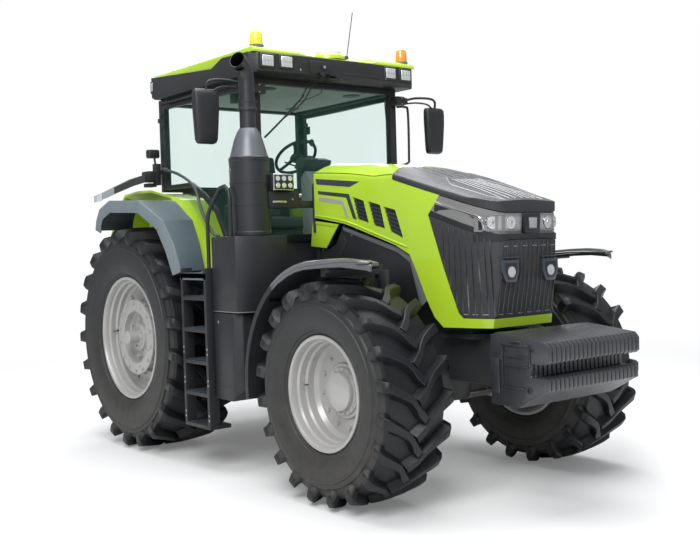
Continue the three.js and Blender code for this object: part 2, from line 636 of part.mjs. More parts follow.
// Fixed lower panels beside the engine, below the hood's edge, on three brackets.
function enginePanel() {
  const outerY = -engine.upperHalf - 70;
  const innerY = outerY + 18;
  const front = fromFrontAxle([[-88, 1765], [68, 1690], [208, 1380], [150, 1340], [-10, 1640], [-130, 1700]]);
  const middle = wheelBase - 670;
  const edge = [
    [1860, 1790], [1968, 1762], [2060, 1800], [middle - 83, 1942], ...front, [middle, 1835],
    [middle - 120, 1640], [1960, 1560], [1860, 1580],
  ];
  const brackets = [[1990, 1600], [wheelBase - 410, 1690], [wheelBase - 70, 1600]].map(([x, z]) => {
    return union([
      block([x, x + 50], [innerY - 8, -engine.upperHalf - seatGap], [z, z + 60]),
      block([x - 20, x + 70], [outerY, innerY], [z, z + 120]),
    ]);
  });
  return union([pushY(edge, outerY, innerY), ...brackets]);
}
addPair("engine_panel", "darkPlastic", enginePanel());

// ---- Cab ----
const pillarInner = cab.side - 75;
const frontPillar = [cab.frontX, cab.frontX + cab.pillar];
const rearPillar = [cab.rearX - cab.pillar, cab.rearX];
const fenderLine = aroundRearWheel([
  [140, 285], [132, 300], [124, 345], [113.4, 406], [102, 341], [90, 305], [73, 287], [60, 191], [45, 116],
  [36, 80], [30, 41],
]);
const rearPostFoot = Math.max(...fenderLine.map(([, z]) => z)) + 13;
const doorHinge = { heights: [cab.floor + 900, cab.floor + 1380], height: 40, out: 26 };

function cabFrame() {
  const posts = [-1, 1].flatMap((side) => {
    const span = [side * pillarInner, side * cab.side];
    return [
      block(frontPillar, span, [cab.floor + seatGap, cab.roofBottom]),
      block(rearPillar, span, [rearPostFoot, cab.roofBottom]),
      block([rearPillar[0], frontPillar[1]], span, [cab.top + swingGap, cab.roofBottom]),
      // Hinge lugs for the door, one low and one high.
      ...doorHinge.heights.flatMap((z) => {
        const span = [z, z + doorHinge.height];
        const outer = side * (cab.side + doorHinge.out);
        return [
          block([rearPillar[1] - 40, rearPillar[1]], [side * (cab.side - 4), outer], span),
          block([rearPillar[1] - 5, rearPillar[1] + 28], [side * (cab.side + 10), outer], span),
        ];
      }),
    ];
  });
  const header = block(frontPillar, [-pillarInner, pillarInner], [cab.top, cab.roofBottom]);
  const rearHeader = block(rearPillar, [-pillarInner, pillarInner], [cab.top, cab.roofBottom]);
  const rearSill = block(rearPillar, [-pillarInner, pillarInner], [rearPostFoot, rearPostFoot + 50]);
  const frontSill = block(frontPillar, [-pillarInner, pillarInner], [cab.waist - 60, cab.waist]);
  return union([...posts, header, rearHeader, rearSill, frontSill]);
}
add("cab_frame", "darkPlastic", cabFrame());

function cabFloor() {
  const low = cab.floor - cab.floorThick;
  const inner = cab.innerHalf - seatGap;
  const wheelClear = rearWheel.radius + swingGap;
  const wide = block([wheelClear, frontPillar[1]], [-cab.side, cab.side], [low, cab.floor]);
  const narrow = block([rearPillar[0], wheelClear + 5], [-inner, inner], [low, cab.floor]);
  const backWall = block(rearPillar, [-inner, inner], [low, rearPostFoot - seatGap]);
  const wallHalf = pillarInner - seatGap;
  const frontWall = block([frontPillar[0], frontPillar[0] + 40], [-wallHalf, wallHalf],
    [low, cab.waist - 60 - seatGap]);
  const posts = [-1, 1].flatMap((side) => [
    block([outrigger.x - 50, outrigger.x + 50], [side * 430, side * 530], [outrigger.top + seatGap, low + 5]),
    block([-90, 60], [side * 380, side * 480],
      [rearWheel.radius + gearbox.trumpetRadius + seatGap, low + 5]),
  ]);
  return union([wide, narrow, backWall, frontWall, ...posts]);
}
add("cab_floor", "darkPlastic", cabFloor());

// The windscreen bows forward between the front pillars.
function windscreen() {
  const half = pillarInner - seatGap;
  const steps = 8;
  const arc = (push) => {
    const points = [];
    for (let i = 0; i <= steps; i += 1) {
      const y = -half + (2 * half * i) / steps;
      points.push([frontPillar[0] + 20 + push + cab.bulge * (1 - (y / half) ** 2), y]);
    }
    return points;
  };
  return pushZ([...arc(0), ...arc(cab.glass).reverse()], cab.waist + seatGap, cab.top - seatGap);
}
add("windscreen", "tintedGlass", windscreen());
add("rear_window", "tintedGlass", block([rearPillar[0] + 25, rearPillar[0] + 25 + cab.glass],
  [-pillarInner + seatGap, pillarInner - seatGap], [rearPostFoot + 50 + seatGap, cab.top - seatGap]));

// ---- Doors: a frame round one large pane, hinged at the rear pillar ----
const doorRear = cab.rearX + swingGap;
const doorFront = cab.frontX - swingGap;
const doorTop = cab.top;
const doorRail = 42;
const doorStep = stack.base + 18; // the front foot of the door is narrower below this
const doorHeel = rearPostFoot + 17;
const doorBottomLine = [
  [rearWheel.radius + 55, cab.floor + 52], ...aroundRearWheel([[41.8, 323], [51.2, 397], [62, 405]]),
  [450, doorHeel],
];

function doorOutline(footFront) {
  return [
    [doorRear, doorTop], [doorFront, doorTop], [doorFront, doorStep], [footFront + 40, doorStep],
    [footFront, doorBottomLine[0][1]], ...doorBottomLine, [doorRear, doorHeel],
  ];
}

function doorFrame(footFront) {
  const outline = doorOutline(footFront);
  const ring = cut(pushY(outline, -cab.side, -cab.side + cab.doorThick),
    [pushY(grown(outline, -doorRail), -cab.side - 10, -cab.side + cab.doorThick + 10)]);
  const hinges = doorHinge.heights.map((low) => {
    const z = low + doorHinge.height + runGap;
    return block([doorRear, rearPillar[1] + 34], [-cab.side + 5, -cab.side - doorHinge.out],
      [z, z + doorHinge.height]);
  });
  return union([ring, ...hinges]);
}
const paneFace = [-cab.side + 14, -cab.side + 14 + cab.glass];
const doorPane = (footFront) => pushY(grown(doorOutline(footFront), -doorRail - seatGap), ...paneFace);

const rightFoot = 1400;
const leftFoot = 1500;
add("door_right", "darkPlastic", doorFrame(rightFoot));
add("door_left", "darkPlastic", mirrored(doorFrame(leftFoot)));
add("door_glass_right", "tintedGlass", doorPane(rightFoot));
add("door_glass_left", "tintedGlass", mirrored(doorPane(leftFoot)));

// Fixed pane between the door's lower edge and the fender.
function quarterPane() {
  const upper = [[470, doorHeel], ...doorBottomLine.slice(0, -1).reverse()].map(([x, z]) => [x - 12, z - 14]);
  const foot = upper.at(-1)[0];
  const lower = aroundRearWheel([[60, 150], [76, 250]]);
  const pane = pushY([...upper, [foot, cab.floor + 1], [lower[0][0], cab.floor + 1], ...lower], ...paneFace);
  const fenderBody = [...fenderLine, [fenderLine[0][0], fenderLine.at(-1)[1]]];
  return cut(pane, [pushY(grown(fenderBody, seatGap), -cab.side - 50, -cab.side + 80)]);
}
addPair("quarter_glass", "tintedGlass", quarterPane());

// ---- Rear fenders and their outer extensions ----
function rearFender() {
  const band = bandUnder(fenderLine, fender.thick, cab.innerHalf, fender.outer);
  const below = fenderLine.at(-1)[1];
  const wall = pushY([...fenderLine, [-640, below]], -cab.innerHalf - fender.wallThick, -cab.innerHalf);
  return union([band, wall]);
}
addPair("rear_fender", "limePaint", rearFender());

const extensionLine = aroundRearWheel([
  [113.5, 75], [110.5, 150], [105.5, 222], [95, 252], [69, 305], [53.7, 288], [43.2, 201], [32.4, 125],
]);
function fenderExtension() {
  const inner = fender.outer + seatGap;
  const { radius } = rearWheel;
  const withinEdge = (inset) => pushZ([
    [-radius, -inner], [-radius, inset - fender.extensionOuter],
    [0.42 * radius, inset - fender.extensionOuter], [0.7 * radius, inset - fender.extensionOuter + 60],
    [radius, inset - fender.frontOuter], [radius, -inner],
  ], 0, 3 * radius);
  const band = bandUnder(extensionLine, fender.thick, inner, fender.extensionOuter);
  const skirt = bandUnder(extensionLine, fender.skirt, inner, fender.extensionOuter);
  return union([band.intersect(withinEdge(0)), cut(skirt.intersect(withinEdge(0)), [withinEdge(17)])]);
}
addPair("fender_extension", "greyPlastic", fenderExtension());

// ---- Roof ----
// The seam between the dark housing and the cap, from the rear, stepping up over the front lamps.
const roofSeam = [
  [roof.rear + roof.capInset, roof.edgeTop - 7], [980, roof.edgeTop - 96], [1160, roof.edgeTop - 34],
  [roof.front - roof.capInset, roof.edgeTop - 50],
];

function roofHousing() {
  const { rear, front, half, noseRadius } = roof;
  const halfPlan = [
    [rear, half - noseRadius], [rear + noseRadius, half], [front - 80, half],
    [front - 10, half - noseRadius], [front + 10, 250],
  ];
  const plan = [...halfPlan, ...halfPlan.map(([x, y]) => [x, -y]).reverse()];
  const bottom = cab.roofBottom + seatGap;
  const side = [
    [rear - 20, bottom + 60], [rear + 115, bottom], [front - 50, bottom], [front + 30, bottom + 40],
    [front + 30, roofSeam.at(-1)[1]], ...roofSeam.slice().reverse(), [rear - 20, roofSeam[0][1]],
  ];
  return pushZ(plan, bottom - 50, roof.crownTop).intersect(pushY(side, -half - 10, half + 10));
}
add("roof_housing", "darkPlastic", roofHousing());

function roofCap() {
  const { rear, front, half, capInset, edgeTop, crownTop } = roof;
  const { beaconX, beaconY, beaconHeight, domeX, domeHeight, aerialX, aerialY, aerialHeight, foot } = onRoof;
  const edge = half - capInset;
  const seam = roofSeam.map(([x, z]) => [x, z + seatGap]);
  const outline = [
    ...seam, [front - 70, edgeTop + 6], [front - 380, crownTop - 30], [300, crownTop - 2],
    [rear + 110, crownTop - 4], [rear + capInset, crownTop - 37],
  ];
  const crown = [
    [-edge, cab.roofBottom], [edge, cab.roofBottom], [edge, edgeTop], [edge - 110, crownTop - 42],
    [300, crownTop], [-300, crownTop], [-edge + 110, crownTop - 42], [-edge, edgeTop],
  ];
  const body = pushY(outline, -edge, edge).intersect(pushX(crown, rear, front));
  const notch = block([front - 330, front + 50], [-240, 240], [edgeTop - 27, crownTop + 50]);
  const beacons = [-1, 1].map((side) => {
    const y = side * beaconY;
    return rod([beaconX, y, foot], [beaconX, y, crownTop + beaconHeight], 60, 12, 50);
  });
  const dome = rod([domeX, 0, foot], [domeX, 0, edgeTop + domeHeight], 110, 16, 80);
  const aerial = rod([front - 40, aerialY, foot + 3], [aerialX, aerialY, crownTop + aerialHeight], 5, 6);
  return union([cut(body, [notch]), ...beacons, dome, aerial]);
}
add("roof_cap", "limePaint", roofCap());

// ---- Exhaust ----
function exhaustStack() {
  const [x, y] = [stack.x, -stack.y];
  const base = stack.base + seatGap;
  const start = stack.bendStart;
  const bend = [[x, y, start - 10], [x, y, start + 40], [x, y - 30, start + 130], [x, y - 115, start + 195]];
  return union([
    rod([x, y, base], [x, y, stack.canisterTop], stack.canister, 24),
    rod([x, y, stack.canisterTop - 2], [x, y, stack.coneTop], stack.canister, 24, stack.pipe),
    rod([x, y, stack.coneTop - 5], [x, y, start], stack.pipe, 12),
    rod([x, y, stack.collarBottom], [x, y, stack.collarBottom + stack.collarHeight], stack.collar, 16),
    bentRod(bend, stack.pipe, 6, 12),
  ]);
}
add("exhaust_stack", "darkPlastic", exhaustStack());

function exhaustEnclosure() {
  const { rear, front, inner, outer, bottom, chamferX, chamferY, wrap } = enclosure;
  const plan = [
    [rear, -inner], [rear, -outer], [front - chamferX, -outer], [front, -outer + chamferY],
    [front, -inner + wrap], [frontPillar[1] + 60, -inner + wrap], [frontPillar[1] + 40, -inner],
  ];
  return pushZ(plan, bottom, stack.base);
}
add("exhaust_enclosure", "darkPlastic", exhaustEnclosure());

// ---- Side tanks behind and below the ladders ----
function sideTank() {
  const { rear, front, inner, behindLadder, bottom, top } = tank;
  const outer = enclosure.outer;
  const plan = [
    [rear, -inner], [front, -inner], [front, -outer + 60], [front - 60, -outer], [enclosure.rear, -outer],
    [enclosure.rear, -behindLadder], [rear, -behindLadder],
  ];
  const side = [[rear, bottom + 90], [rear + 60, bottom], [front - 90, bottom], [front, bottom + 90],
    [front, top], [rear, top]];
  return pushZ(plan, bottom, top).intersect(pushY(side, -outer - 10, 0));
}
addPair("side_tank", "darkPlastic", sideTank());

// ---- Ladders ----
function ladderFrame() {
  const { rear, front, outer, inner, rail, top, bottom, tread, steps, rod: barRadius } = ladder;
  const rails = [[rear, rear + rail], [front - rail, front]].map((span) => {
    return block(span, [-outer, -outer + 90], [bottom, top]);
  });
  const pitch = (top - bottom) / steps;
  const treads = [];
  for (let i = 0; i < steps; i += 1) {
    const z = bottom + pitch * i;
    treads.push(block([rear, front], [-outer, -inner - 60], [z, z + tread]));
  }
  const platform = block([rear - 10, front], [-outer, -cab.side - seatGap],
    [cab.floor - cab.floorThick, cab.floor]);
  const hangers = [[rear, rear + 30], [front - 30, front]].map((span) => {
    return block(span, [-inner - 70, -tank.behindLadder - seatGap], [1000, 1060]);
  });
  const backs = [[rear, rear + 30], [front - 30, front]].map((span) => {
    return block(span, [-outer + 60, -inner - 60], [1000, 1060]);
  });
  const railY = -stack.y - stack.canister - ladder.rod - ladder.rodGap;
  const loopTop = stack.base + 398;
  const route = [
    [-50, cab.floor - 20], [-50, loopTop - 385], [-40, loopTop - 225], [130, loopTop - 45], [200, loopTop],
    [285, loopTop - 50], [300, loopTop - 205], [300, stack.base + seatGap],
  ];
  const handrail = bentRod(route.map(([x, z]) => [front + x, railY, z]), barRadius, 18);
  return { base: union([...rails, ...treads, platform, ...hangers, ...backs]), handrail };
}
const ladderPieces = ladderFrame();
add("ladder_right", "darkPlastic", ladderPieces.base.add(ladderPieces.handrail));
add("ladder_left", "darkPlastic", mirrored(ladderPieces.base));

// ---- Mirrors ----
function mirrorArm() {
  const { x, y, width, depth, height, middle, armZ, arm } = mirror;
  const head = block([x - depth / 2, x + depth / 2], [-y - width / 2, -y + width / 2],
    [middle - height / 2, middle + height / 2]);
  const bracket = block([frontPillar[1] + seatGap, x + 70], [-cab.side, -cab.side + 70],
    [armZ - 40, armZ + 40]);
  const route = [
    [x + 49, -cab.side + 20, armZ], [x + 48, -y + 90, armZ + 55], [x + 15, -y, armZ + 30],
    [x, -y, middle + height / 2 - 10],
  ];
  return union([head, bracket, bentRod(route, arm, 10)]);
}
addPair("mirror", "darkPlastic", mirrorArm());

// ---- Seat and steering column ----
const seat = { x: 270, depth: 520, half: 260, baseHeight: 360, thick: 120, backHeight: 600 };
function driverSeat() {
  const { x, depth, half, baseHeight, thick, backHeight } = seat;
  const low = cab.floor + baseHeight;
  const top = low + thick;
  const base = block([x + 30, x + depth - 90], [-half + 90, half - 90], [cab.floor + seatGap, low]);
  const cushion = block([x, x + depth], [-half, half], [low, top]);
  const lean = [
    [x - 80, top - 40], [x + 60, top - 20], [x - 40, top + backHeight], [x - 150, top + backHeight - 20],
  ];
  return union([base, cushion, pushY(lean, -half + 10, half - 10)]);
}
add("seat", "seatFabric", driverSeat());

// The wheel's plane leans towards the seat, square to the shaft.
const helm = {
  x: 1130, height: 830, ring: 195, tube: 16, tubeSides: 8, shaft: 30, shaftRun: 140, podHalf: 110,
};
function steeringAssembly() {
  const { x, height, ring, tube, tubeSides, shaft, shaftRun, podHalf } = helm;
  const z = cab.floor + height;
  const tilt = new THREE.Quaternion().setFromUnitVectors(
    new THREE.Vector3(0, 1, 0), new THREE.Vector3(-1, 0, 1).normalize());
  const profile = [];
  for (let i = 0; i <= tubeSides; i += 1) {
    const angle = (2 * Math.PI * i) / tubeSides;
    profile.push(new THREE.Vector2(ring + tube * Math.cos(angle), tube * Math.sin(angle)));
  }
  const place = (geometry) => solid(geometry.applyQuaternion(tilt).translate(x, 0, z));
  const pod = [
    [x + 50, cab.floor + seatGap], [x + 290, cab.floor + seatGap], [x + 200, z - 170], [x + 100, z - 130],
  ];
  return union([
    place(new THREE.LatheGeometry(profile, 24)),
    place(new THREE.BoxGeometry(40, 14, 2 * ring)),
    rod([x + shaftRun, 0, z - shaftRun], [x, 0, z], shaft, 12),
    pushY(pod, -podHalf, podHalf),
  ]);
}
add("steering_column", "darkPlastic", steeringAssembly());

// ---- Three-point lift ----
function hitchFrame() {
  const { x, shaftZ, linkZ, armY, shaft } = hitch;
  const plate = block([gearbox.rear - 70, gearbox.rear - seatGap], [-gearbox.half, gearbox.half],
    [linkZ - 110, 1250]);
  const tower = block([gearbox.rear - 70, gearbox.rear + 60], [-150, 150],
    [gearbox.top + seatGap, shaftZ + 80]);
  const towerBack = block([gearbox.rear - 70, gearbox.rear - seatGap], [-150, 150], [1200, gearbox.top + 60]);
  const bearing = rod([x, -armY, shaftZ], [x, armY, shaftZ], shaft + 45, 20);
  const bossEnd = armY + runGap + hitch.armThick + runGap + hitch.rodThick;
  const linkBoss = rod([x, -bossEnd, linkZ], [x, bossEnd, linkZ], 58, 16);
  const drawbar = block([-800, gearbox.rear - 20], [-50, 50], [480, 520]);
  const drawbarHanger = block([gearbox.rear - 70, gearbox.rear - seatGap], [-80, 80], [478, linkZ]);
  return union([plate, tower, towerBack, bearing, linkBoss, drawbar, drawbarHanger]);
}
add("hitch_frame", "chassisPaint", hitchFrame());

// From the middle outwards: bearing housing, lift arm, lift rod, lower link, a running gap between each.
const armFace = hitch.armY + runGap;
const rodFace = armFace + hitch.armThick + runGap;
const linkFace = rodFace + hitch.rodThick + runGap;

function rockshaftArms() {
  const { x, shaftZ, arm, armThick, shaft, eye } = hitch;
  const arms = [-1, 1].map((side) => {
    const span = [side * armFace, side * (armFace + armThick)];
    const lever = [[x, shaftZ + 60], [x, shaftZ - 60], [x - arm, shaftZ - 32], [x - arm, shaftZ + 32]];
    return union([
      rod([x, span[0], shaftZ], [x, span[1], shaftZ], shaft + 30, 20),
      pushY(lever, ...span),
      rod([x - arm, span[0], shaftZ], [x - arm, span[1], shaftZ], eye, 16),
    ]);
  });
  const tie = block([x - 175, x - 135], [-armFace - 4, armFace + 4], [shaftZ - 20, shaftZ + 20]);
  return union([...arms, tie]);
}
add("rockshaft_arms", "castIron", rockshaftArms());

function liftRod() {
  const { x, shaftZ, linkZ, arm, eye, rodThick, rodRadius } = hitch;
  const px = x - arm;
  const span = [-rodFace, -rodFace - rodThick];
  const middle = -rodFace - rodThick / 2;
  return union([
    rod([px, span[0], shaftZ], [px, span[1], shaftZ], eye, 16),
    rod([px, span[0], linkZ], [px, span[1], linkZ], eye, 16),
    block([px - 14, px + 14], span, [linkZ, shaftZ]),
    rod([px, middle, linkZ + 160], [px, middle, shaftZ - 200], rodRadius, 14),
  ]);
}
addPair("lift_rod", "castIron", liftRod());

function lowerLinks() {
  const { x, linkZ, linkEnd, linkThick } = hitch;
  const tip = linkEnd + 60;
  const bars = [-1, 1].map((side) => {
    const span = [side * linkFace, side * (linkFace + linkThick)];
    return union([
      pushY([[x, linkZ + 42], [x, linkZ - 42], [tip, linkZ - 42], [tip, linkZ + 42]], ...span),
      rod([x, span[0], linkZ], [x, span[1], linkZ], 60, 16),
      rod([tip, span[0], linkZ], [tip, span[1], linkZ], 60, 16),
    ]);
  });
  const tie = block([x - 520, x - 470], [-linkFace - 4, linkFace + 4], [linkZ - 20, linkZ + 20]);
  return union([...bars, tie]);
}
add("lower_links", "castIron", lowerLinks());

// The origin is the middle of the whole tractor's box, at ground level.
pieces.updateMatrixWorld(true);
const whole = new THREE.Box3().setFromObject(pieces, true);
const centre = whole.getCenter(new THREE.Vector3());
pieces.position.set(-centre.x, -centre.y, -whole.min.z);

export default tractor;
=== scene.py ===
# A four-wheel-drive farm tractor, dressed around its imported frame. Metres; every piece is modelled with
# x measured from the rear axle, and finishPiece moves it into the frame.
import bpy
import bmesh
import json
import math
from mathutils import Matrix, Vector
from mathutils.geometry import interpolate_bezier


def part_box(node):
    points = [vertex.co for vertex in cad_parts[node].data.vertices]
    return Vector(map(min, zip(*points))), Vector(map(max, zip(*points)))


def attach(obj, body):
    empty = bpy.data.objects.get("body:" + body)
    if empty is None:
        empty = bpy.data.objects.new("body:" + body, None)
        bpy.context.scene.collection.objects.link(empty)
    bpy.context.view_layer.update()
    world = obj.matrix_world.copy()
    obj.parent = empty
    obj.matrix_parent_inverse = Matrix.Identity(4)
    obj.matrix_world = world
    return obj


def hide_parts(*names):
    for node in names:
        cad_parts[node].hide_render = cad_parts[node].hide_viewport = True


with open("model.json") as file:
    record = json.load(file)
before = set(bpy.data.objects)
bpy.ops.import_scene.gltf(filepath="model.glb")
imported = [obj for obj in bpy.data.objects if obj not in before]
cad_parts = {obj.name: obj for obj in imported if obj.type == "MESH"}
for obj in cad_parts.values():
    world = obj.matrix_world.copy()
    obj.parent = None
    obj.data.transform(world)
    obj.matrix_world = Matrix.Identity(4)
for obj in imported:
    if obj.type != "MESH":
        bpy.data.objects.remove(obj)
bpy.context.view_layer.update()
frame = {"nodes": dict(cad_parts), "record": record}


def nodeBox(node):  # a CAD node's box, with x from the rear axle
    low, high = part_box(node)
    return low - axleShift, high - axleShift


rimLow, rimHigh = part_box("rear_rim_right")
axleShift = Vector(((rimLow.x + rimHigh.x) / 2, 0, 0))
frontLow, frontHigh = nodeBox("front_rim_right")
wheelBase = (frontLow.x + frontHigh.x) / 2


# camera, light and floor
def setCamera():
    view = {"place": (8.278, -5.16, 1.809), "yaw": 2.4773, "pitch": -0.0378, "roll": -0.0294, "lens": 50.505}
    yaw, pitch, roll = view["yaw"], view["pitch"], view["roll"]
    ahead = Vector((math.cos(pitch) * math.cos(yaw), math.cos(pitch) * math.sin(yaw), math.sin(pitch)))
    right = ahead.cross(Vector((0, 0, 1))).normalized()
    up = right.cross(ahead)
    rolledRight = right * math.cos(roll) + up * math.sin(roll)
    rolledUp = up * math.cos(roll) - right * math.sin(roll)
    camera = bpy.data.objects.new("camera", bpy.data.cameras.new("camera"))
    camera.data.sensor_width = 36
    camera.data.lens = view["lens"]
    turned = Matrix((rolledRight, rolledUp, -ahead)).transposed().to_4x4()
    camera.matrix_world = Matrix.Translation(Vector(view["place"]) + axleShift) @ turned
    bpy.context.scene.collection.objects.link(camera)
    bpy.context.scene.camera = camera


def addLamp(name, place, target, size, power):
    lamp = bpy.data.lights.new(name, "AREA")
    lamp.shape = "RECTANGLE"
    lamp.size, lamp.size_y = size
    lamp.energy = power
    holder = bpy.data.objects.new(name, lamp)
    holder.location = place
    holder.rotation_euler = (Vector(target) - Vector(place)).to_track_quat("-Z", "Y").to_euler()
    bpy.context.scene.collection.objects.link(holder)


def setInputs(tree, node, inputs):  # a socket takes a value, or a link from another node's socket
    for socket, value in inputs.items():
        if isinstance(value, bpy.types.NodeSocket):
            tree.links.new(value, node.inputs[socket])
        else:
            node.inputs[socket].default_value = value
    return node


def addNode(tree, kind, inputs=None, **settings):
    node = tree.nodes.new("ShaderNode" + kind)
    for key, value in settings.items():
        setattr(node, key, value)
    return setInputs(tree, node, inputs or {})


# the floor's own shade gives way to white between clearFrom and clearTo, measured from the middle
stage = {
    "floorColour": (0.8, 0.8, 0.8, 1), "floorReach": 60, "worldColour": (0.93, 0.96, 1, 1),
    "worldLight": 0.44, "glow": 0.14, "clearFrom": 4.5, "clearTo": 10.5,
}


def setWorld():
    world = bpy.data.worlds.new("studio")
    bpy.context.scene.world = world
    world.use_nodes = True
    tree = world.node_tree
    tree.nodes.clear()
    path = addNode(tree, "LightPath").outputs
    bright = addNode(tree, "Math", {0: path["Is Camera Ray"], 1: path["Is Transmission Ray"]},
                     operation="MAXIMUM")
    lit = addNode(tree, "Background", {"Color": stage["worldColour"], "Strength": stage["worldLight"]})
    seen = addNode(tree, "Background", {"Color": (1, 1, 1, 1), "Strength": 1})
    mix = addNode(tree, "MixShader", {"Fac": bright.outputs[0], 1: lit.outputs[0], 2: seen.outputs[0]})
    addNode(tree, "OutputWorld", {"Surface": mix.outputs[0]})


def floorPaint():
    material = bpy.data.materials.new("floorPaint")
    material.use_nodes = True
    tree = material.node_tree
    tree.nodes.clear()
    place = addNode(tree, "NewGeometry").outputs["Position"]
    reach = addNode(tree, "VectorMath", {0: place}, operation="LENGTH").outputs["Value"]
    fade = addNode(tree, "MapRange", {"Value": reach, "From Min": stage["clearFrom"],
                                      "From Max": stage["clearTo"], "To Min": stage["glow"], "To Max": 1},
                   interpolation_type="SMOOTHSTEP")
    seen = addNode(tree, "LightPath").outputs["Is Camera Ray"]
    share = addNode(tree, "Math", {0: seen, 1: fade.outputs["Result"]}, operation="MULTIPLY")
    matte = addNode(tree, "BsdfDiffuse", {"Color": stage["floorColour"]})
    glow = addNode(tree, "Emission")
    mix = addNode(tree, "MixShader", {"Fac": share.outputs[0], 1: matte.outputs[0], 2: glow.outputs[0]})
    addNode(tree, "OutputMaterial", {"Surface": mix.outputs[0]})
    return material


def setStage():
    setWorld()
    bm = bmesh.new()
    bmesh.ops.create_grid(bm, x_segments=1, y_segments=1, size=stage["floorReach"])
    mesh = bpy.data.meshes.new("floor")
    bm.to_mesh(mesh)
    bm.free()
    mesh.materials.append(floorPaint())
    floor = bpy.data.objects.new("floor", mesh)
    bpy.context.scene.collection.objects.link(floor)
    addLamp("keyLight", (7.0, -8.0, 9.5), (0, 0, 1.2), (6, 6), 1230)
    addLamp("topLight", (0.0, 0.0, 9.0), (0, 0, 0), (8, 8), 860)
    addLamp("rearLight", (-8.0, 5.0, 6.5), (0, 0, 1.4), (6, 5), 420)
    bpy.context.scene.view_settings.view_transform = "Standard"


setCamera()
setStage()
print("camera and studio ready")


# finishes
grimeLook = {"top": 1.6, "spots": 14, "colour": (0.16, 0.14, 0.11, 1)}  # dust that gathers low down


def newMaterial(name):
    material = bpy.data.materials.new(name)
    material.use_nodes = True
    return material, material.node_tree


def surface(name, colour, roughness, metallic=0.0, shade=0.12, patchScale=3.0, grainScale=400.0,
            grain=0.15, roughSpread=0.12, coat=0.0, coatRough=0.08, specular=0.5, grime=0.0):
    material, tree = newMaterial(name)
    place = addNode(tree, "TexCoord").outputs["Object"]
    patches = addNode(tree, "TexNoise", {"Scale": patchScale, "Detail": 5, "Vector": place}).outputs["Fac"]
    ramp = addNode(tree, "ValToRGB", {"Fac": patches})
    for stop, position, share in zip(ramp.color_ramp.elements, (0.3, 0.7), (1 - shade, 1 + shade)):
        stop.position = position
        stop.color = (*[min(1, c * share) for c in colour], 1)
    paint = ramp.outputs["Color"]
    if grime:
        height = addNode(tree, "SeparateXYZ", {0: place}).outputs["Z"]
        low = addNode(tree, "MapRange", {"Value": height, "From Min": grimeLook["top"], "From Max": 0.0,
                                         "To Max": grime})
        spots = addNode(tree, "TexNoise", {"Scale": grimeLook["spots"], "Detail": 8, "Vector": place})
        amount = addNode(tree, "Math", {0: low.outputs["Result"], 1: spots.outputs["Fac"]},
                         operation="MULTIPLY")
        dusty = addNode(tree, "Mix", {0: amount.outputs[0], 6: paint, 7: grimeLook["colour"]},
                        data_type="RGBA")
        paint = dusty.outputs[2]
    rough = addNode(tree, "MapRange", {"Value": patches, "To Min": max(0.02, roughness - roughSpread / 2),
                                       "To Max": min(1, roughness + roughSpread / 2)})
    fine = addNode(tree, "TexNoise", {"Scale": grainScale, "Detail": 3, "Vector": place})
    bump = addNode(tree, "Bump", {"Strength": grain, "Distance": 0.002, "Height": fine.outputs["Fac"]})
    setInputs(tree, tree.nodes["Principled BSDF"], {
        "Base Color": paint, "Roughness": rough.outputs["Result"], "Normal": bump.outputs["Normal"],
        "Metallic": metallic, "Coat Weight": coat, "Coat Roughness": coatRough, "Specular IOR Level": specular,
    })
    return material


def glassy(name, tint, body, share, roughness=0.03):
    material, tree = newMaterial(name)
    shader = setInputs(tree, tree.nodes["Principled BSDF"],
                       {"Base Color": (*body, 1), "Roughness": roughness})
    place = addNode(tree, "TexCoord").outputs["Object"]
    haze = addNode(tree, "TexNoise", {"Scale": 1.3, "Vector": place})
    ramp = addNode(tree, "ValToRGB", {"Fac": haze.outputs["Fac"]})
    ramp.color_ramp.elements[0].color = (*[c * 0.97 for c in tint], 1)
    ramp.color_ramp.elements[1].color = (*tint, 1)
    clear = addNode(tree, "BsdfTransparent", {"Color": ramp.outputs["Color"]})
    mix = addNode(tree, "MixShader", {"Fac": share, 1: clear.outputs[0], 2: shader.outputs[0]})
    setInputs(tree, tree.nodes["Material Output"], {"Surface": mix.outputs[0]})
    return material


lime = surface("limePaint", (0.41, 0.62, 0.026), 0.32, shade=0.05, patchScale=1.2, grainScale=240, grain=0.03,
               coat=0.6, roughSpread=0.08)
darkPlastic = surface("darkPlastic", (0.024, 0.027, 0.03), 0.52, shade=0.14, grainScale=900, grain=0.22)
blackPlastic = surface("blackPlastic", (0.014, 0.015, 0.017), 0.45, shade=0.15, grainScale=900, grain=0.2)
sheetPaint = surface("darkSheetPaint", (0.05, 0.056, 0.062), 0.42, shade=0.08, grainScale=260, grain=0.05,
                     coat=0.15, grime=0.25)
greyPlastic = surface("greyPlastic", (0.105, 0.14, 0.16), 0.48, shade=0.08, grainScale=1100, grain=0.2)
# a lighter grey for the upward faces of the one dark-grey hood cover: painted highlight
coverTopPaintedHighlight = surface("coverTopPaintedHighlight", (0.085, 0.091, 0.097), 0.42, shade=0.06, grainScale=1100)
rimPaint = surface("rimPaint", (0.4, 0.395, 0.385), 0.36, metallic=0.15, shade=0.05, grainScale=350,
                   grain=0.05, coat=0.25, grime=0.12)
castPaint = surface("castPaint", (0.022, 0.025, 0.028), 0.55, shade=0.2, patchScale=8, grainScale=160,
                    grain=0.45, grime=0.3)
chassisPaint = surface("chassisPaint", (0.03, 0.033, 0.037), 0.48, shade=0.15, patchScale=5, grainScale=220,
                       grain=0.2, grime=0.3)
rubber = surface("tyreRubber", (0.0125, 0.014, 0.016), 0.56, shade=0.22, patchScale=6, grainScale=500,
                 grain=0.3, roughSpread=0.2, grime=0.35)
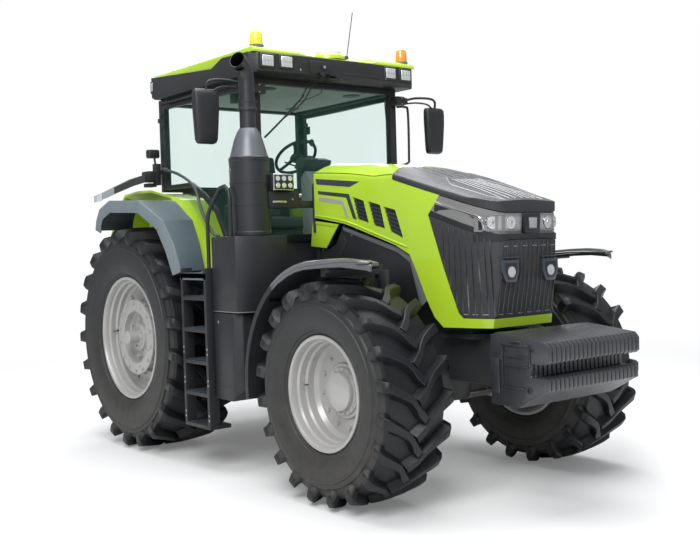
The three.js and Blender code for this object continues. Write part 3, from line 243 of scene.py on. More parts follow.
# a darker, glossier copy of the tyre rubber for the tread and lugs: the darker colour is painted shade, the
# lower roughness is real gloss
treadRubberPaintedShade = surface("treadRubberPaintedShade", (0.0065, 0.0075, 0.009), 0.44, shade=0.25, patchScale=7, grainScale=420,
                      grain=0.25, specular=0.4)
sealRubber = surface("sealRubber", (0.012, 0.012, 0.013), 0.7, shade=0.1, grainScale=900)
silver = surface("silverPaint", (0.225, 0.222, 0.22), 0.38, metallic=0.25, shade=0.04, grainScale=700,
                 grain=0.04, coat=0.3)
chrome = surface("chrome", (0.78, 0.78, 0.8), 0.12, metallic=1.0, shade=0.03, grain=0.0, roughSpread=0.06)
steel = surface("zincSteel", (0.42, 0.41, 0.38), 0.36, metallic=0.85, grainScale=600, grain=0.12)
lampGlass = surface("lampGlass", (0.6, 0.62, 0.63), 0.18, metallic=0.35, shade=0.1, patchScale=60,
                    grainScale=220, grain=0.5, coat=1.0, coatRough=0.02)
redGlass = surface("redLens", (0.45, 0.012, 0.012), 0.2, shade=0.15, patchScale=40, grainScale=260, grain=0.5,
                   coat=1.0, coatRough=0.03)
amberGlass = surface("amberLens", (0.85, 0.28, 0.02), 0.22, patchScale=30, grainScale=300, grain=0.4,
                     coat=1.0, coatRough=0.03)
yellowGlass = surface("yellowLens", (0.95, 0.72, 0.03), 0.22, shade=0.1, patchScale=30, grainScale=300,
                      grain=0.4, coat=1.0, coatRough=0.03)
tinted = glassy("tintedGlass", (0.968, 0.998, 0.99), (0.1, 0.36, 0.26), 0.035)
clearLens = glassy("clearLens", (0.93, 0.95, 0.96), (0.6, 0.64, 0.66), 0.45)
decalDark = surface("decalDark", (0.03, 0.042, 0.055), 0.35, shade=0.06, grain=0.02, coat=0.4)
decalGrey = surface("decalGrey", (0.33, 0.33, 0.34), 0.35, shade=0.05, grain=0.02, coat=0.4)
mirrorGlass = surface("mirrorFace", (0.72, 0.75, 0.78), 0.04, metallic=1.0, shade=0.02, grain=0.0,
                      roughSpread=0.02)
trimGrey = surface("trimGrey", (0.16, 0.17, 0.17), 0.6, shade=0.08, grainScale=800, grain=0.25)
grilleMesh = surface("grilleMesh", (0.03, 0.031, 0.032), 0.6, shade=0.3, patchScale=90, grainScale=260,
                     grain=0.9)
print("finishes ready")


# shaping helpers
def soften(bm, verts, width, segments=2, angle=25):
    edges = {e for v in verts if v.is_valid for e in v.link_edges}
    sharp = [e for e in edges if e.is_manifold and e.calc_face_angle(0) > math.radians(angle)]
    if sharp:
        bmesh.ops.bevel(bm, geom=sharp, offset=width, offset_type="OFFSET", affect="EDGES", segments=segments,
                        profile=0.5, material=-1, clamp_overlap=True)


def paintAround(verts, index):
    for vert in verts:
        for face in vert.link_faces:
            face.material_index = index


def addBox(bm, low, high, bevel=0.0, index=0, segments=2):  # between any two opposite corners
    low, high = [Vector([pick(pair) for pair in zip(low, high)]) for pick in (min, max)]
    matrix = Matrix.Translation((low + high) / 2) @ Matrix.Diagonal((*(high - low), 1))
    made = bmesh.ops.create_cube(bm, size=1, matrix=matrix)["verts"]
    paintAround(made, index)
    if bevel:
        soften(bm, made, bevel, segments)
    return made


def addRound(bm, start, end, radius, endRadius=None, sides=24, bevel=0.0, index=0, segments=2):
    start, end = Vector(start), Vector(end)
    turn = (end - start).to_track_quat("Z", "Y").to_matrix().to_4x4()
    made = bmesh.ops.create_cone(
        bm, cap_ends=True, segments=sides, radius1=radius, radius2=radius if endRadius is None else endRadius,
        depth=(end - start).length, matrix=Matrix.Translation((start + end) / 2) @ turn)["verts"]
    paintAround(made, index)
    if bevel:
        soften(bm, made, bevel, segments, angle=50)
    return made


spread = {
    "X": lambda a, u, v: Vector((a, u, v)),
    "Y": lambda a, u, v: Vector((u, a, v)),
    "Z": lambda a, u, v: Vector((u, v, a)),
}


def addPrism(bm, outline, a, b, axis="Y", bevel=0.0, index=0, segments=2):
    corners = [bm.verts.new(spread[axis](a, u, v)) for u, v in outline]
    face = bm.faces.new(corners)
    grown = bmesh.ops.extrude_face_region(bm, geom=[face])["geom"]
    far = [g for g in grown if isinstance(g, bmesh.types.BMVert)]
    bmesh.ops.translate(bm, verts=far, vec=spread[axis](b - a, 0, 0))
    bmesh.ops.recalc_face_normals(bm, faces=list({f for v in corners + far for f in v.link_faces}))
    paintAround(corners + far, index)
    if bevel:
        soften(bm, corners + far, bevel, segments)
    return corners + far


def addTurned(bm, profile, centre, steps=64, index=0, axis="Y"):  # profile of (radius, along the axis)
    known = set(bm.faces)
    along = spread[axis](1, 0, 0)
    across = Vector((0, 0, 1)) if axis != "Z" else Vector((1, 0, 0))
    points = [bm.verts.new(Vector(centre) + along * y + across * r) for r, y in profile]
    edges = [bm.edges.new(pair) for pair in zip(points, points[1:])]
    bmesh.ops.spin(bm, geom=points + edges, cent=centre, axis=along, angle=2 * math.pi, steps=steps,
                   use_merge=True, use_duplicate=False)
    for face in bm.faces:
        if face not in known:
            face.material_index = index


def smoothRoute(points, steps=6):
    points = [Vector(p) for p in points]
    route = []
    for i in range(len(points) - 1):
        before, after = points[max(0, i - 1)], points[min(len(points) - 1, i + 2)]
        near, far = points[i], points[i + 1]
        bend = interpolate_bezier(near, near + (far - before) / 6, far - (after - near) / 6, far, steps + 1)
        route += bend[:-1]
    return route + [points[-1]]


def addTube(bm, points, radius, sides=10, steps=6, index=0, capped=True):
    route = smoothRoute(points, steps) if len(points) > 2 else [Vector(p) for p in points]
    heading = (route[1] - route[0]).normalized()
    turn = heading.to_track_quat("Z", "Y")
    rings = []
    for i, place in enumerate(route):
        ahead = (route[min(len(route) - 1, i + 1)] - route[max(0, i - 1)]).normalized()
        turn = heading.rotation_difference(ahead) @ turn
        heading = ahead
        matrix = Matrix.Translation(place) @ turn.to_matrix().to_4x4()
        rings.append(bmesh.ops.create_circle(bm, segments=sides, radius=radius, matrix=matrix)["verts"])
    joinRings(bm, rings, capped)
    paintAround([v for ring in rings for v in ring], index)


def joinRings(bm, rings, capped=True):
    loops = []
    for ring in rings:
        held = set(ring)
        loops.append(list({e for v in ring for e in v.link_edges if held.issuperset(e.verts)}))
    for near, far in zip(loops, loops[1:]):
        bmesh.ops.bridge_loops(bm, edges=near + far)
    if capped:
        for ring in (rings[0], rings[-1]):
            bm.faces.new(ring)


def addLoft(bm, sections, index=0, capped=True):  # closed sections with the same number of corners
    rings = []
    for section in sections:
        ring = [bm.verts.new(Vector(p)) for p in section]
        for i, corner in enumerate(ring):
            bm.edges.new((corner, ring[(i + 1) % len(ring)]))
        rings.append(ring)
    joinRings(bm, rings, capped)
    made = [v for ring in rings for v in ring]
    bmesh.ops.recalc_face_normals(bm, faces=list({f for v in made for f in v.link_faces}))
    paintAround(made, index)
    return made


def addBolt(bm, place, heading, radius=0.012, height=0.01, index=0, sides=6):
    place = Vector(place)
    addRound(bm, place, place + Vector(heading) * height, radius, radius * 0.94, sides=sides, index=index)


def addBoltRing(bm, centre, ringRadius, count, radius, height, index=0, sides=6,
                start=0.0):  # round the y axis
    for i in range(count):
        angle = start + 2 * math.pi * i / count
        place = Vector(centre) + Vector((math.cos(angle) * ringRadius, 0, math.sin(angle) * ringRadius))
        addBolt(bm, place, (0, 1, 0), radius, height, index, sides)


def flipSides(bm):  # to the mirror image, on the tractor's other side
    bmesh.ops.scale(bm, verts=bm.verts, vec=(1, -1, 1))
    bmesh.ops.reverse_faces(bm, faces=bm.faces)


def everyPart(bm):
    return bm.verts[:] + bm.edges[:] + bm.faces[:]


def evenTurns(count):  # angles round a full circle
    return [i * math.tau / count for i in range(count)]


def finishPiece(name, bm, materials, body, slot, replaces=(), sharp=32, outward=True, merge=1e-5,
                smooth=True):
    if merge:
        bmesh.ops.remove_doubles(bm, verts=bm.verts, dist=merge)
    if outward:
        bmesh.ops.recalc_face_normals(bm, faces=bm.faces)
    for face in bm.faces:
        face.smooth = smooth
    for edge in bm.edges:
        edge.smooth = not edge.is_manifold or edge.calc_face_angle(0) < math.radians(sharp)
    bmesh.ops.translate(bm, verts=bm.verts, vec=axleShift)
    mesh = bpy.data.meshes.new(name)
    bm.to_mesh(mesh)
    bm.free()
    for material in materials:
        mesh.materials.append(material)
    piece = bpy.data.objects.new(name, mesh)
    bpy.context.scene.collection.objects.link(piece)
    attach(piece, body)
    if replaces:
        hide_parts(*replaces)
    return piece


def copyNode(node):  # a CAD node's mesh, merged, ready to be softened or added to
    bm = bmesh.new()
    bm.from_mesh(frame["nodes"][node].data)
    bmesh.ops.remove_doubles(bm, verts=bm.verts, dist=1e-5)
    bmesh.ops.dissolve_limit(bm, angle_limit=math.radians(0.6), verts=bm.verts, edges=bm.edges)
    bmesh.ops.translate(bm, verts=bm.verts, vec=-axleShift)
    for face in bm.faces:
        face.material_index = 0
    return bm


def bothSides(build, name, bodies, materials, slot, replaces=(), **more):  # built on the right, then mirrored
    for side, body in zip(("right", "left"), bodies):
        bm = bmesh.new()
        build(bm)
        if side == "left":
            flipSides(bm)
        stoodFor = [f"{node}_{side}" for node in replaces]
        finishPiece(f"{name}_{side}", bm, materials, body, slot, stoodFor, **more)


# wheels: a turned carcass with two staggered rows of lugs, on a stepped rim
wheelShape = {
    "rear": {"flange": 0.555, "seat": 0.531, "bead": 0.272, "ring": 0.83, "lugs": 21, "lugHeight": 0.06,
             "lugLead": 0.27, "lugWide": 1.25, "toothFoot": 0.155},
    "front": {"flange": 0.403, "seat": 0.383, "bead": 0.22, "ring": 0.606, "lugs": 20, "lugHeight": 0.054,
              "lugLead": 0.33, "lugWide": 1.08, "toothFoot": 0.148},
}
for which, shape in wheelShape.items():
    tyreLow, tyreHigh = nodeBox(f"{which}_tyre_right")
    rimBottom, rimTop = nodeBox(f"{which}_rim_right")
    shape["centre"] = Vector(((rimBottom.x + rimTop.x) / 2, (tyreLow.y + tyreHigh.y) / 2,
                              (tyreLow.z + tyreHigh.z) / 2))
    shape["radius"] = shape["centre"].z
    shape["width"] = tyreHigh.y - tyreLow.y


# One lug of the +Y row, as sections from its centre end, which leads, down to its foot on the sidewall.
def lugMesh(shape):
    bm = bmesh.new()
    radius, half, height, foot = shape["radius"], shape["width"] / 2, shape["lugHeight"], shape["toothFoot"]
    #  across: top and base, drop below the radius: top and base, how far it trails, half widths: top and base
    stations = [
        (-0.03, -0.052, 0.004, height + 0.012, 0.0, 0.018, 0.034),
        (0.1 * half, 0.07 * half, 0.002, height + 0.012, 0.22, 0.022, 0.04),
        (0.22 * half, 0.21 * half, 0.002, height + 0.012, 0.43, 0.024, 0.043),
        (0.36 * half, 0.36 * half, 0.004, height + 0.014, 0.61, 0.025, 0.045),
        (0.56 * half, 0.56 * half, 0.008, height + 0.018, 0.75, 0.026, 0.047),
        (0.76 * half, 0.75 * half, 0.014, height + 0.026, 0.87, 0.028, 0.049),
        (half - 0.026, half - 0.07, 0.021, height + 0.036, 0.96, 0.031, 0.051),
        (half - 0.002, half - 0.05, 0.056, height + 0.056, 1.0, 0.031, 0.049),
        (half - 0.001, half - 0.04, 0.11, foot - 0.02, 1.01, 0.027, 0.043),
        (half - 0.014, half - 0.036, foot - 0.01, foot + 0.004, 1.01, 0.022, 0.034),
    ]
    sections = []
    for across, baseAcross, drop, baseDrop, trail, topHalf, baseHalf in stations:
        corners = []
        for shift, r, y in ((-baseHalf, radius - baseDrop, baseAcross), (-topHalf, radius - drop, across),
                            (topHalf, radius - drop, across), (baseHalf, radius - baseDrop, baseAcross)):
            angle = shift * shape["lugWide"] / r - shape["lugLead"] * trail
            sideways = shift * max(0, 0.8 - 1.6 * trail)
            corners.append((r * math.sin(angle), y + sideways, r * math.cos(angle)))
        sections.append(corners)
    soften(bm, addLoft(bm, sections), 0.0035, segments=1, angle=40)
    mesh = bpy.data.meshes.new("lug")
    bm.to_mesh(mesh)
    bm.free()
    return mesh


def addTurnedCopies(bm, mesh, turns, flip=False):  # copies of a mesh turned about the y axis
    for turn in turns:
        known = len(bm.verts)
        bm.from_mesh(mesh)
        bm.verts.ensure_lookup_table()
        verts = bm.verts[known:]
        if flip:
            bmesh.ops.scale(bm, verts=verts, vec=(1, -1, 1))
            bmesh.ops.reverse_faces(bm, faces=list({f for v in verts for f in v.link_faces}))
        bmesh.ops.rotate(bm, verts=verts, cent=(0, 0, 0), matrix=Matrix.Rotation(turn, 3, "Y"))


def tyreMesh(shape):
    bm = bmesh.new()
    radius, half, flange, ring = shape["radius"], shape["width"] / 2, shape["flange"], shape["ring"]
    crown = radius - shape["lugHeight"]
    side = [
        (shape["seat"], shape["bead"]), (flange + 0.004, shape["bead"]),
        (flange + 0.014, shape["bead"] + 0.014), (flange + 0.03, shape["bead"] + 0.02),
        (flange + 0.034, shape["bead"] + 0.028), (flange + 0.065, half - 0.028),
        ((flange + ring) / 2, half - 0.008), (ring - 0.022, half - 0.007),
        (ring - 0.018, half - 0.003), (ring - 0.006, half - 0.003), (ring, half - 0.012),
        (ring + 0.03, half - 0.018), (crown - 0.085, half - 0.032), (crown - 0.045, half - 0.048),
        (crown - 0.024, half * 0.8), (crown - 0.008, half * 0.5), (crown, 0),
    ]
    profile = side + [(r, -y) for r, y in side[-2::-1]]
    addTurned(bm, profile + [side[0]], (0, 0, 0), steps=shape["lugs"] * 4)
    bmesh.ops.recalc_face_normals(bm, faces=bm.faces)
    lug = lugMesh(shape)
    pitch = 2 * math.pi / shape["lugs"]
    addTurnedCopies(bm, lug, [i * pitch for i in range(shape["lugs"])])
    addTurnedCopies(bm, lug, [(i + 0.5) * pitch for i in range(shape["lugs"])], flip=True)
    return bm


def rearRim():  # outboard side towards +y, about the origin
    rim = {"ribs": 14, "faceBolts": 14, "discBolts": 12, "hubBolts": 10}
    bm = bmesh.new()
    profile = [
        (0.531, 0.268), (0.552, 0.274), (0.556, 0.281), (0.552, 0.288), (0.54, 0.29), (0.53, 0.287),
        (0.522, 0.274), (0.519, 0.238), (0.506, 0.222), (0.503, 0.18), (0.487, 0.164), (0.484, 0.128),
        (0.468, 0.11), (0.402, 0.107), (0.392, 0.12), (0.352, 0.122), (0.326, 0.128), (0.326, 0.194),
        (0.345, 0.198), (0.345, 0.213), (0.338, 0.22), (0.244, 0.22), (0.236, 0.213), (0.231, 0.158),
        (0.222, 0.15), (0.134, 0.15), (0.126, 0.158), (0.12, 0.184), (0.112, 0.19), (0.068, 0.19),
        (0.06, 0.198), (0.06, 0.298), (0.052, 0.306), (0.0, 0.306),
    ]
    back = [
        (0.0, -0.3345), (0.06, -0.3345), (0.06, 0.06), (0.13, 0.08), (0.345, 0.09), (0.452, 0.092),
        (0.466, 0.06), (0.466, -0.1), (0.494, -0.2), (0.512, -0.268), (0.53, -0.29), (0.554, -0.288),
        (0.552, -0.274), (0.531, -0.268), (0.531, 0.268),
    ]
    addTurned(bm, profile, (0, 0, 0), steps=72)
    addTurned(bm, back, (0, 0, 0), steps=48)
    for i in range(rim["ribs"]):
        rib = addBox(bm, (-0.024, 0.124, 0.318), (0.024, 0.2, 0.3445))
        turn = Matrix.Rotation(2 * math.pi * i / rim["ribs"], 3, "Y")
        bmesh.ops.rotate(bm, verts=rib, cent=(0, 0, 0), matrix=turn)
        soften(bm, rib, 0.004, segments=1)
    addBoltRing(bm, (0, 0.22, 0), 0.312, rim["faceBolts"], 0.015, 0.012, start=0.22)
    addBoltRing(bm, (0, 0.22, 0), 0.27, 7, 0.009, 0.006, start=0.5)
    addBoltRing(bm, (0, 0.112, 0), 0.43, rim["discBolts"], 0.0155, 0.014, start=0.1)
    addBoltRing(bm, (0, 0.19, 0), 0.092, rim["hubBolts"], 0.011, 0.014)
    addBoltRing(bm, (0, 0.15, 0), 0.176, 6, 0.02, 0.026, sides=12, start=0.4)
    addBoltRing(bm, (0, 0.176, 0), 0.176, 6, 0.013, 0.016, start=0.4)
    addTube(bm, [(-0.492, 0.15, 0.03), (-0.478, 0.17, 0.03), (-0.47, 0.205, 0.03)], 0.006, index=1)
    addRound(bm, (-0.471, 0.196, 0.03), (-0.469, 0.214, 0.03), 0.01, sides=12, index=2)
    return bm


def frontRim():
    rim = {"discBolts": 12, "carrierBolts": 18}
    bm = bmesh.new()
    profile = [
        (0.383, 0.216), (0.401, 0.222), (0.4035, 0.229), (0.4, 0.236), (0.388, 0.238), (0.379, 0.234),
        (0.373, 0.222), (0.37, 0.182), (0.357, 0.168), (0.354, 0.122), (0.341, 0.108), (0.338, 0.056),
        (0.325, 0.04), (0.314, 0.026), (0.286, 0.022), (0.2, 0.022), (0.194, 0.04), (0.187, 0.045),
        (0.174, 0.045), (0.168, 0.05), (0.168, 0.058), (0.163, 0.062), (0.146, 0.062), (0.139, 0.068),
        (0.137, 0.086), (0.131, 0.098), (0.116, 0.104), (0.04, 0.105), (0.0, 0.105),
    ]
    back = [
        (0.0, -0.1145), (0.137, -0.1145), (0.137, -0.06), (0.2, -0.04), (0.205, 0.004), (0.318, 0.004),
        (0.324, -0.1), (0.35, -0.18), (0.366, -0.222), (0.384, -0.238), (0.402, -0.236), (0.401, -0.222),
        (0.383, -0.216), (0.383, 0.216),
    ]
    addTurned(bm, profile, (0, 0, 0))
    addTurned(bm, back, (0, 0, 0), steps=40)
    addBoltRing(bm, (0, 0.023, 0), 0.258, rim["discBolts"], 0.0145, 0.015, start=0.13)
    addBoltRing(bm, (0, 0.062, 0), 0.155, rim["carrierBolts"], 0.0065, 0.006)
    addBoltRing(bm, (0, 0.1045, 0), 0.082, 3, 0.013, 0.0005, sides=16, start=0.3)
    addTube(bm, [(-0.346, 0.1, 0.02), (-0.334, 0.118, 0.02), (-0.328, 0.15, 0.02)], 0.005, index=1)
    addRound(bm, (-0.329, 0.142, 0.02), (-0.327, 0.158, 0.02), 0.008, sides=12, index=2)
    return bm


def makeWheels():
    for which, rimBuild in (("rear", rearRim), ("front", frontRim)):
        shape = wheelShape[which]
        for side, way in (("right", -1), ("left", 1)):
            centre = Vector((shape["centre"].x, abs(shape["centre"].y) * way, shape["centre"].z))
            bm = tyreMesh(shape)
            bmesh.ops.translate(bm, verts=bm.verts, vec=centre)
            # faces beyond 0.885 of the radius, the tread and lugs, take a darker copy of the rubber: painted
            # shade against the brighter sidewall
            for face in bm.faces:
                spot = face.calc_center_median() - shape["centre"]
                if math.hypot(spot.x, spot.z) > 0.885 * shape["radius"]:
                    face.material_index = 1
            finishPiece(f"{which}_lugged_tyre_{side}", bm, [rubber, treadRubberPaintedShade], f"{which}_wheel_{side}",
                        "tyre_rubber", [f"{which}_tyre_{side}"], outward=False, merge=1e-6, sharp=30)
            bm = rimBuild()
            if way < 0:
                bmesh.ops.scale(bm, verts=bm.verts, vec=(1, -1, 1))
            bmesh.ops.translate(bm, verts=bm.verts, vec=centre)
            finishPiece(f"{which}_bolted_rim_{side}", bm, [rimPaint, blackPlastic, steel],
                        f"{which}_wheel_{side}", "rim_paint", [f"{which}_rim_{side}"])
    print("wheels made")


makeWheels()


# hood: one faceted body, cut into its panels, each turned into a thin shell
hood = {
    "top": [(1.85, 2.462), (2.264, 2.428), (2.658, 2.376), (3.243, 2.205), (3.56, 2.112), (3.76, 2.04)],
    "bottom": [(1.85, 2.019), (2.251, 1.955), (2.822, 1.783), (2.989, 1.706), (3.13, 1.388), (3.241, 1.197)],
    "front": [(3.7, 2.062), (3.728, 1.99), (3.712, 1.8), (3.7, 1.575), (3.632, 1.191)],
    "plan": [(1.85, 0.47), (2.989, 0.458), (3.25, 0.432), (3.48, 0.392), (3.57, 0.366), (3.64, 0.336),
             (3.69, 0.297), (3.72, 0.245), (3.737, 0.17), (3.747, 0.085), (3.75, 0.0)],
    "narrowing": 0.16, "skin": 0.016, "gap": 0.0016,
}
hoodZones = {
    "cover": [(2.816, 2.261), (3.272, 2.124), (3.72, 1.984), (3.9, 1.93), (3.9, 2.6), (2.5, 2.6),
              (2.5, 2.357)],
    "silver": [(3.19, 2.02), (3.272, 2.124), (3.72, 1.984), (3.9, 1.93), (3.9, 1.836), (3.7, 1.836)],
    "chin": [(3.165, 1.99), (3.19, 2.02), (3.7, 1.836), (3.9, 1.836), (3.9, 1.797), (3.7, 1.8)],
    "grille": [(3.165, 1.99), (3.7, 1.8), (3.9, 1.797), (3.9, 1.262), (3.432, 1.266), (3.398, 1.3)],
}
coverRear = [(2.64, 0.2), (2.816, 0.47)]  # x and half width where the cover begins
hoodVents = [
    [(2.343, 2.16), (2.471, 2.125), (2.528, 1.956), (2.397, 1.989)],
    [(2.524, 2.118), (2.663, 2.083), (2.713, 1.907), (2.587, 1.937)],
    [(2.703, 2.07), (2.832, 2.039), (2.912, 1.832), (2.775, 1.883)],
]


def along(line, x):
    if x <= line[0][0]:
        return line[0][1]
    for (ax, az), (bx, bz) in zip(line, line[1:]):
        if x <= bx:
            return az + (bz - az) * (x - ax) / (bx - ax)
    return line[-1][1]


def within(outline, u, v):
    hit = False
    for (au, av), (bu, bv) in zip(outline, outline[1:] + outline[:1]):
        if (av > v) != (bv > v) and u < au + (bu - au) * (v - av) / (bv - av):
            hit = not hit
    return hit


def cutPlane(bm, place, normal, near=None, clear=False):
    faces = bm.faces[:] if near is None else [f for f in bm.faces if near(f.calc_center_median())]
    edges = {e for f in faces for e in f.edges}
    verts = {v for f in faces for v in f.verts}
    bmesh.ops.bisect_plane(bm, geom=list(verts) + list(edges) + faces, plane_co=place, plane_no=normal,
                           clear_outer=clear, dist=1e-6)


def cutAlong(bm, outline, reach=0.25):  # an outline in x and z, marked on the sides of a body
    us, vs = [p[0] for p in outline], [p[1] for p in outline]
    near = lambda c: (min(us) - reach < c.x < max(us) + reach) and (min(vs) - reach < c.z < max(vs) + reach)
    for (au, av), (bu, bv) in zip(outline, outline[1:] + outline[:1]):
        cutPlane(bm, (au, 0, av), (bv - av, 0, au - bu), near)


def hoodTopZ(x):
    return sum(along(hood["top"], x + shift) for shift in (-0.1, -0.05, 0, 0.05, 0.1)) / 5


def hoodSideZ(x):  # where the shoulder meets the side
    share = min(1, max(0, (x - 2.62) / 0.22))
    return (hoodTopZ(x) - 0.083) * (1 - share) + (2.303 - 0.305 * (x - 2.816)) * share


def hoodBody():
    bm = bmesh.new()
    sections = []
    xs = [1.85 + 0.075 * i for i in range(26)] + [3.8]
    for x in xs:
        wide = along(hood["plan"][:4], x) if x > 3.48 else along(hood["plan"], x)
        crown = 0.25 - 0.09 * min(1, max(0, (x - 2.9) / 0.8))
        top, side, low = hoodTopZ(x), hoodSideZ(x), along(hood["bottom"], x)
        half = [(0, top + 0.006), (crown * 0.5, top + 0.004), (crown, top),
                ((crown + wide) / 2, (top + side) / 2 + 0.01),
                (wide - 0.022, side + 0.011), (wide - 0.008, side + 0.003), (wide - 0.002, side - 0.008),
                (wide, side - 0.024), (wide, side * 0.75 + low * 0.25), (wide, side * 0.5 + low * 0.5),
                (wide, side * 0.25 + low * 0.75), (wide, low)]
        section = [(x, y, z) for y, z in half] + [(x, -y, z) for y, z in half[:0:-1]]
        sections.append(section)
    addLoft(bm, sections)
    front = hood["front"]
    for (ax, az), (bx, bz) in zip(front, front[1:]):
        clearBeyond(bm, (ax, 0, az), (az - bz, 0, bx - ax))
    for side in (-1, 1):
        plan = hood["plan"][3:]
        for (ax, ay), (bx, by) in zip(plan, plan[1:]):
            clearBeyond(bm, (ax, ay * side, 0), (ay - by, (bx - ax) * side, 0))
    for z in (1.3, 1.45, 1.6, 1.72):
        cutPlane(bm, (0, 0, z), (0, 0, 1))
    for vert in bm.verts:
        vert.co.y *= narrowed(vert.co.x, vert.co.z)
    bmesh.ops.recalc_face_normals(bm, faces=bm.faces)
    return bm


def clearBeyond(bm, place, normal):  # slice a closed body and close it again
    cut = bmesh.ops.bisect_plane(bm, geom=everyPart(bm), plane_co=place, plane_no=normal,
                                 clear_outer=True, dist=1e-6)["geom_cut"]
    edges = [g for g in cut if isinstance(g, bmesh.types.BMEdge) and g.is_valid]
    if edges:
        bmesh.ops.holes_fill(bm, edges=edges)


def hoodPanels():
    body = hoodBody()
    doomed = [f for f in body.faces if (f.calc_center_median().x < 1.852 and abs(f.normal.x) > 0.9)
              or (f.normal.z < -0.25 and f.calc_center_median().z < along(hood["bottom"],
                                                                          f.calc_center_median().x) + 0.05)]
    bmesh.ops.delete(body, geom=doomed, context="FACES")
    for outline in list(hoodZones.values()) + hoodVents:
        cutAlong(body, outline, 0.6)
    (ax, ay), (bx, by) = coverRear
    for side in (-1, 1):
        cutPlane(body, (ax, ay * side, 0), (by - ay, (ax - bx) * side, 0), lambda c: 2.4 < c.x < 3.1)
    cutPlane(body, (ax, 0, 0), (1, 0, 0), lambda c: 2.4 < c.x < 2.9)
    panels = {}
    for name in ("shell", "cover", "silver", "chin", "grille"):
        bm = body.copy()
        away = [f for f in bm.faces if hoodZone(f.calc_center_median()) != name]
        bmesh.ops.delete(bm, geom=away, context="FACES")
        panels[name] = bm
    body.free()
    return panels


def hoodZone(c):
    (ax, ay), (bx, by) = coverRear
    ahead = c.x > ax and abs(c.y) < ay + (by - ay) * (c.x - ax) / (bx - ax)
    if within(hoodZones["cover"], c.x, c.z) and ahead:
        return "cover"
    for name in ("silver", "chin", "grille"):
        if within(hoodZones[name], c.x, c.z):
            return name
    if any(within(vent, c.x, c.z) for vent in hoodVents) and abs(c.y) > 0.3:
        return "vent"
    return "shell"


def shellPanel(bm, skin, gap):  # a sheet drawn in from its edges, with its rim turned inwards
    bmesh.ops.remove_doubles(bm, verts=bm.verts, dist=0.0005)
    bm.normal_update()
    inward = {}
    rim = [e for e in bm.edges if e.is_boundary]
    for edge in rim:
        face = edge.link_faces[0]
        across = face.normal.cross(edge.verts[1].co - edge.verts[0].co).normalized()
        if across.dot(face.calc_center_median() - edge.verts[0].co) < 0:
            across.negate()
        for vert in edge.verts:
            inward[vert] = inward.get(vert, Vector()) + across
    turned = {vert: vert.normal.copy() for vert in inward}
    for vert, way in inward.items():
        if way.length > 0.2:
            vert.co += way.normalized() * gap
    grown = bmesh.ops.extrude_edge_only(bm, edges=rim)["geom"]
    fresh = [g for g in grown if isinstance(g, bmesh.types.BMVert)]
    nearest = {tuple(round(c, 5) for c in vert.co): normal for vert, normal in turned.items()}
    for vert in fresh:
        vert.co -= nearest[tuple(round(c, 5) for c in vert.co)] * skin


def narrowed(x, z):
    ahead = min(1, max(0, (x - 3.25) / 0.5))
    down = min(1, max(0, (1.83 - z) / 0.64))
    return 1 - hood["narrowing"] * ahead * down


def hoodSideY(x, z):
    return along(hood["plan"], x) * narrowed(x, z)


def hoodFrontX(y, z):
    share = abs(y) / narrowed(3.7, z)
    rounded = along([(half, x) for x, half in hood["plan"][:1:-1]], share)
    return min(rounded, along([(z_, x_) for x_, z_ in hood["front"][::-1]], z))


def oblong(left, right, low, high):
    return [(left, low), (right, low), (right, high), (left, high)]


def sidePatch(bm, outline, lift, thick, index):  # a flat piece on each side of the hood, given in x and z
    for side in (-1, 1):
        made = addPrism(bm, outline, 0, 1, index=index)
        for vert in made:
            y = hoodSideY(vert.co.x, vert.co.z) + (lift if vert.co.y > 0.5 else lift - thick)
            vert.co.y = side * y
        bmesh.ops.recalc_face_normals(bm, faces=list({f for v in made for f in v.link_faces}))


def frontPatch(bm, y0, y1, z0, z1, lift, thick, index, steps=6):  # a piece that follows the nose
    sections = []
    for i in range(steps + 1):
        y = y0 + (y1 - y0) * i / steps
        low, high = (z0(y), z1(y)) if callable(z0) else (z0, z1)
        sections.append([(hoodFrontX(y, low) + lift, y, low), (hoodFrontX(y, high) + lift, y, high),
                         (hoodFrontX(y, high) + lift - thick, y, high),
                         (hoodFrontX(y, low) + lift - thick, y, low)])
    addLoft(bm, sections, index=index)


def sideLine(bm, points, radius, index, lift=0.0):
    for side in (-1, 1):
        addTube(bm, [(x, side * (hoodSideY(x, z) + lift), z) for x, z in points], radius, sides=8,
                index=index)


hoodTrim = {
    "arrow": [(1.877, 2.331), (2.434, 2.273), (2.31, 2.239), (1.888, 2.286)],
    "darkHook": [(1.905, 2.233), (2.3, 2.186), (2.388, 1.985), (2.343, 1.995), (2.266, 2.16), (1.905, 2.206)],
    "greyHook": [(1.914, 2.182), (2.228, 2.138), (2.292, 2.0), (2.258, 2.006), (2.204, 2.11), (1.914, 2.15)],
    "lens": [(3.228, 2.062), (3.32, 2.034), (3.56, 1.953), (3.592, 1.922), (3.6, 1.872), (3.218, 2.014)],
    "cornerLamp": [(3.24, 2.09), (3.262, 2.106), (3.318, 2.072), (3.3, 2.052)],
    "chrome": [(3.236, 2.082), (3.32, 2.047), (3.504, 1.986), (3.572, 1.962), (3.6, 1.93), (3.607, 1.866)],
    "ridge": [(1.868, 2.036), (2.251, 1.975), (2.56, 1.886), (2.822, 1.806), (2.95, 1.768)],
    "lamps": [(0.312, 1.92, 0.36), (0.186, 1.917, 0.12)],  # y, z, and how far each one is turned outwards
    "grilleLamps": (0.2, 1.58),
    # bare plate between the headlights: top and bottom half widths and heights, back, front, bevel, finish
    "badge": [(0.085, 1.976, 0.072, 1.842, 3.69, 3.742, 0.006, 0),
              (0.046, 1.952, 0.042, 1.87, 3.74, 3.7445, 0.002, 3),
              (0.04, 1.946, 0.036, 1.876, 3.743, 3.7465, 0.001, 4)],
}


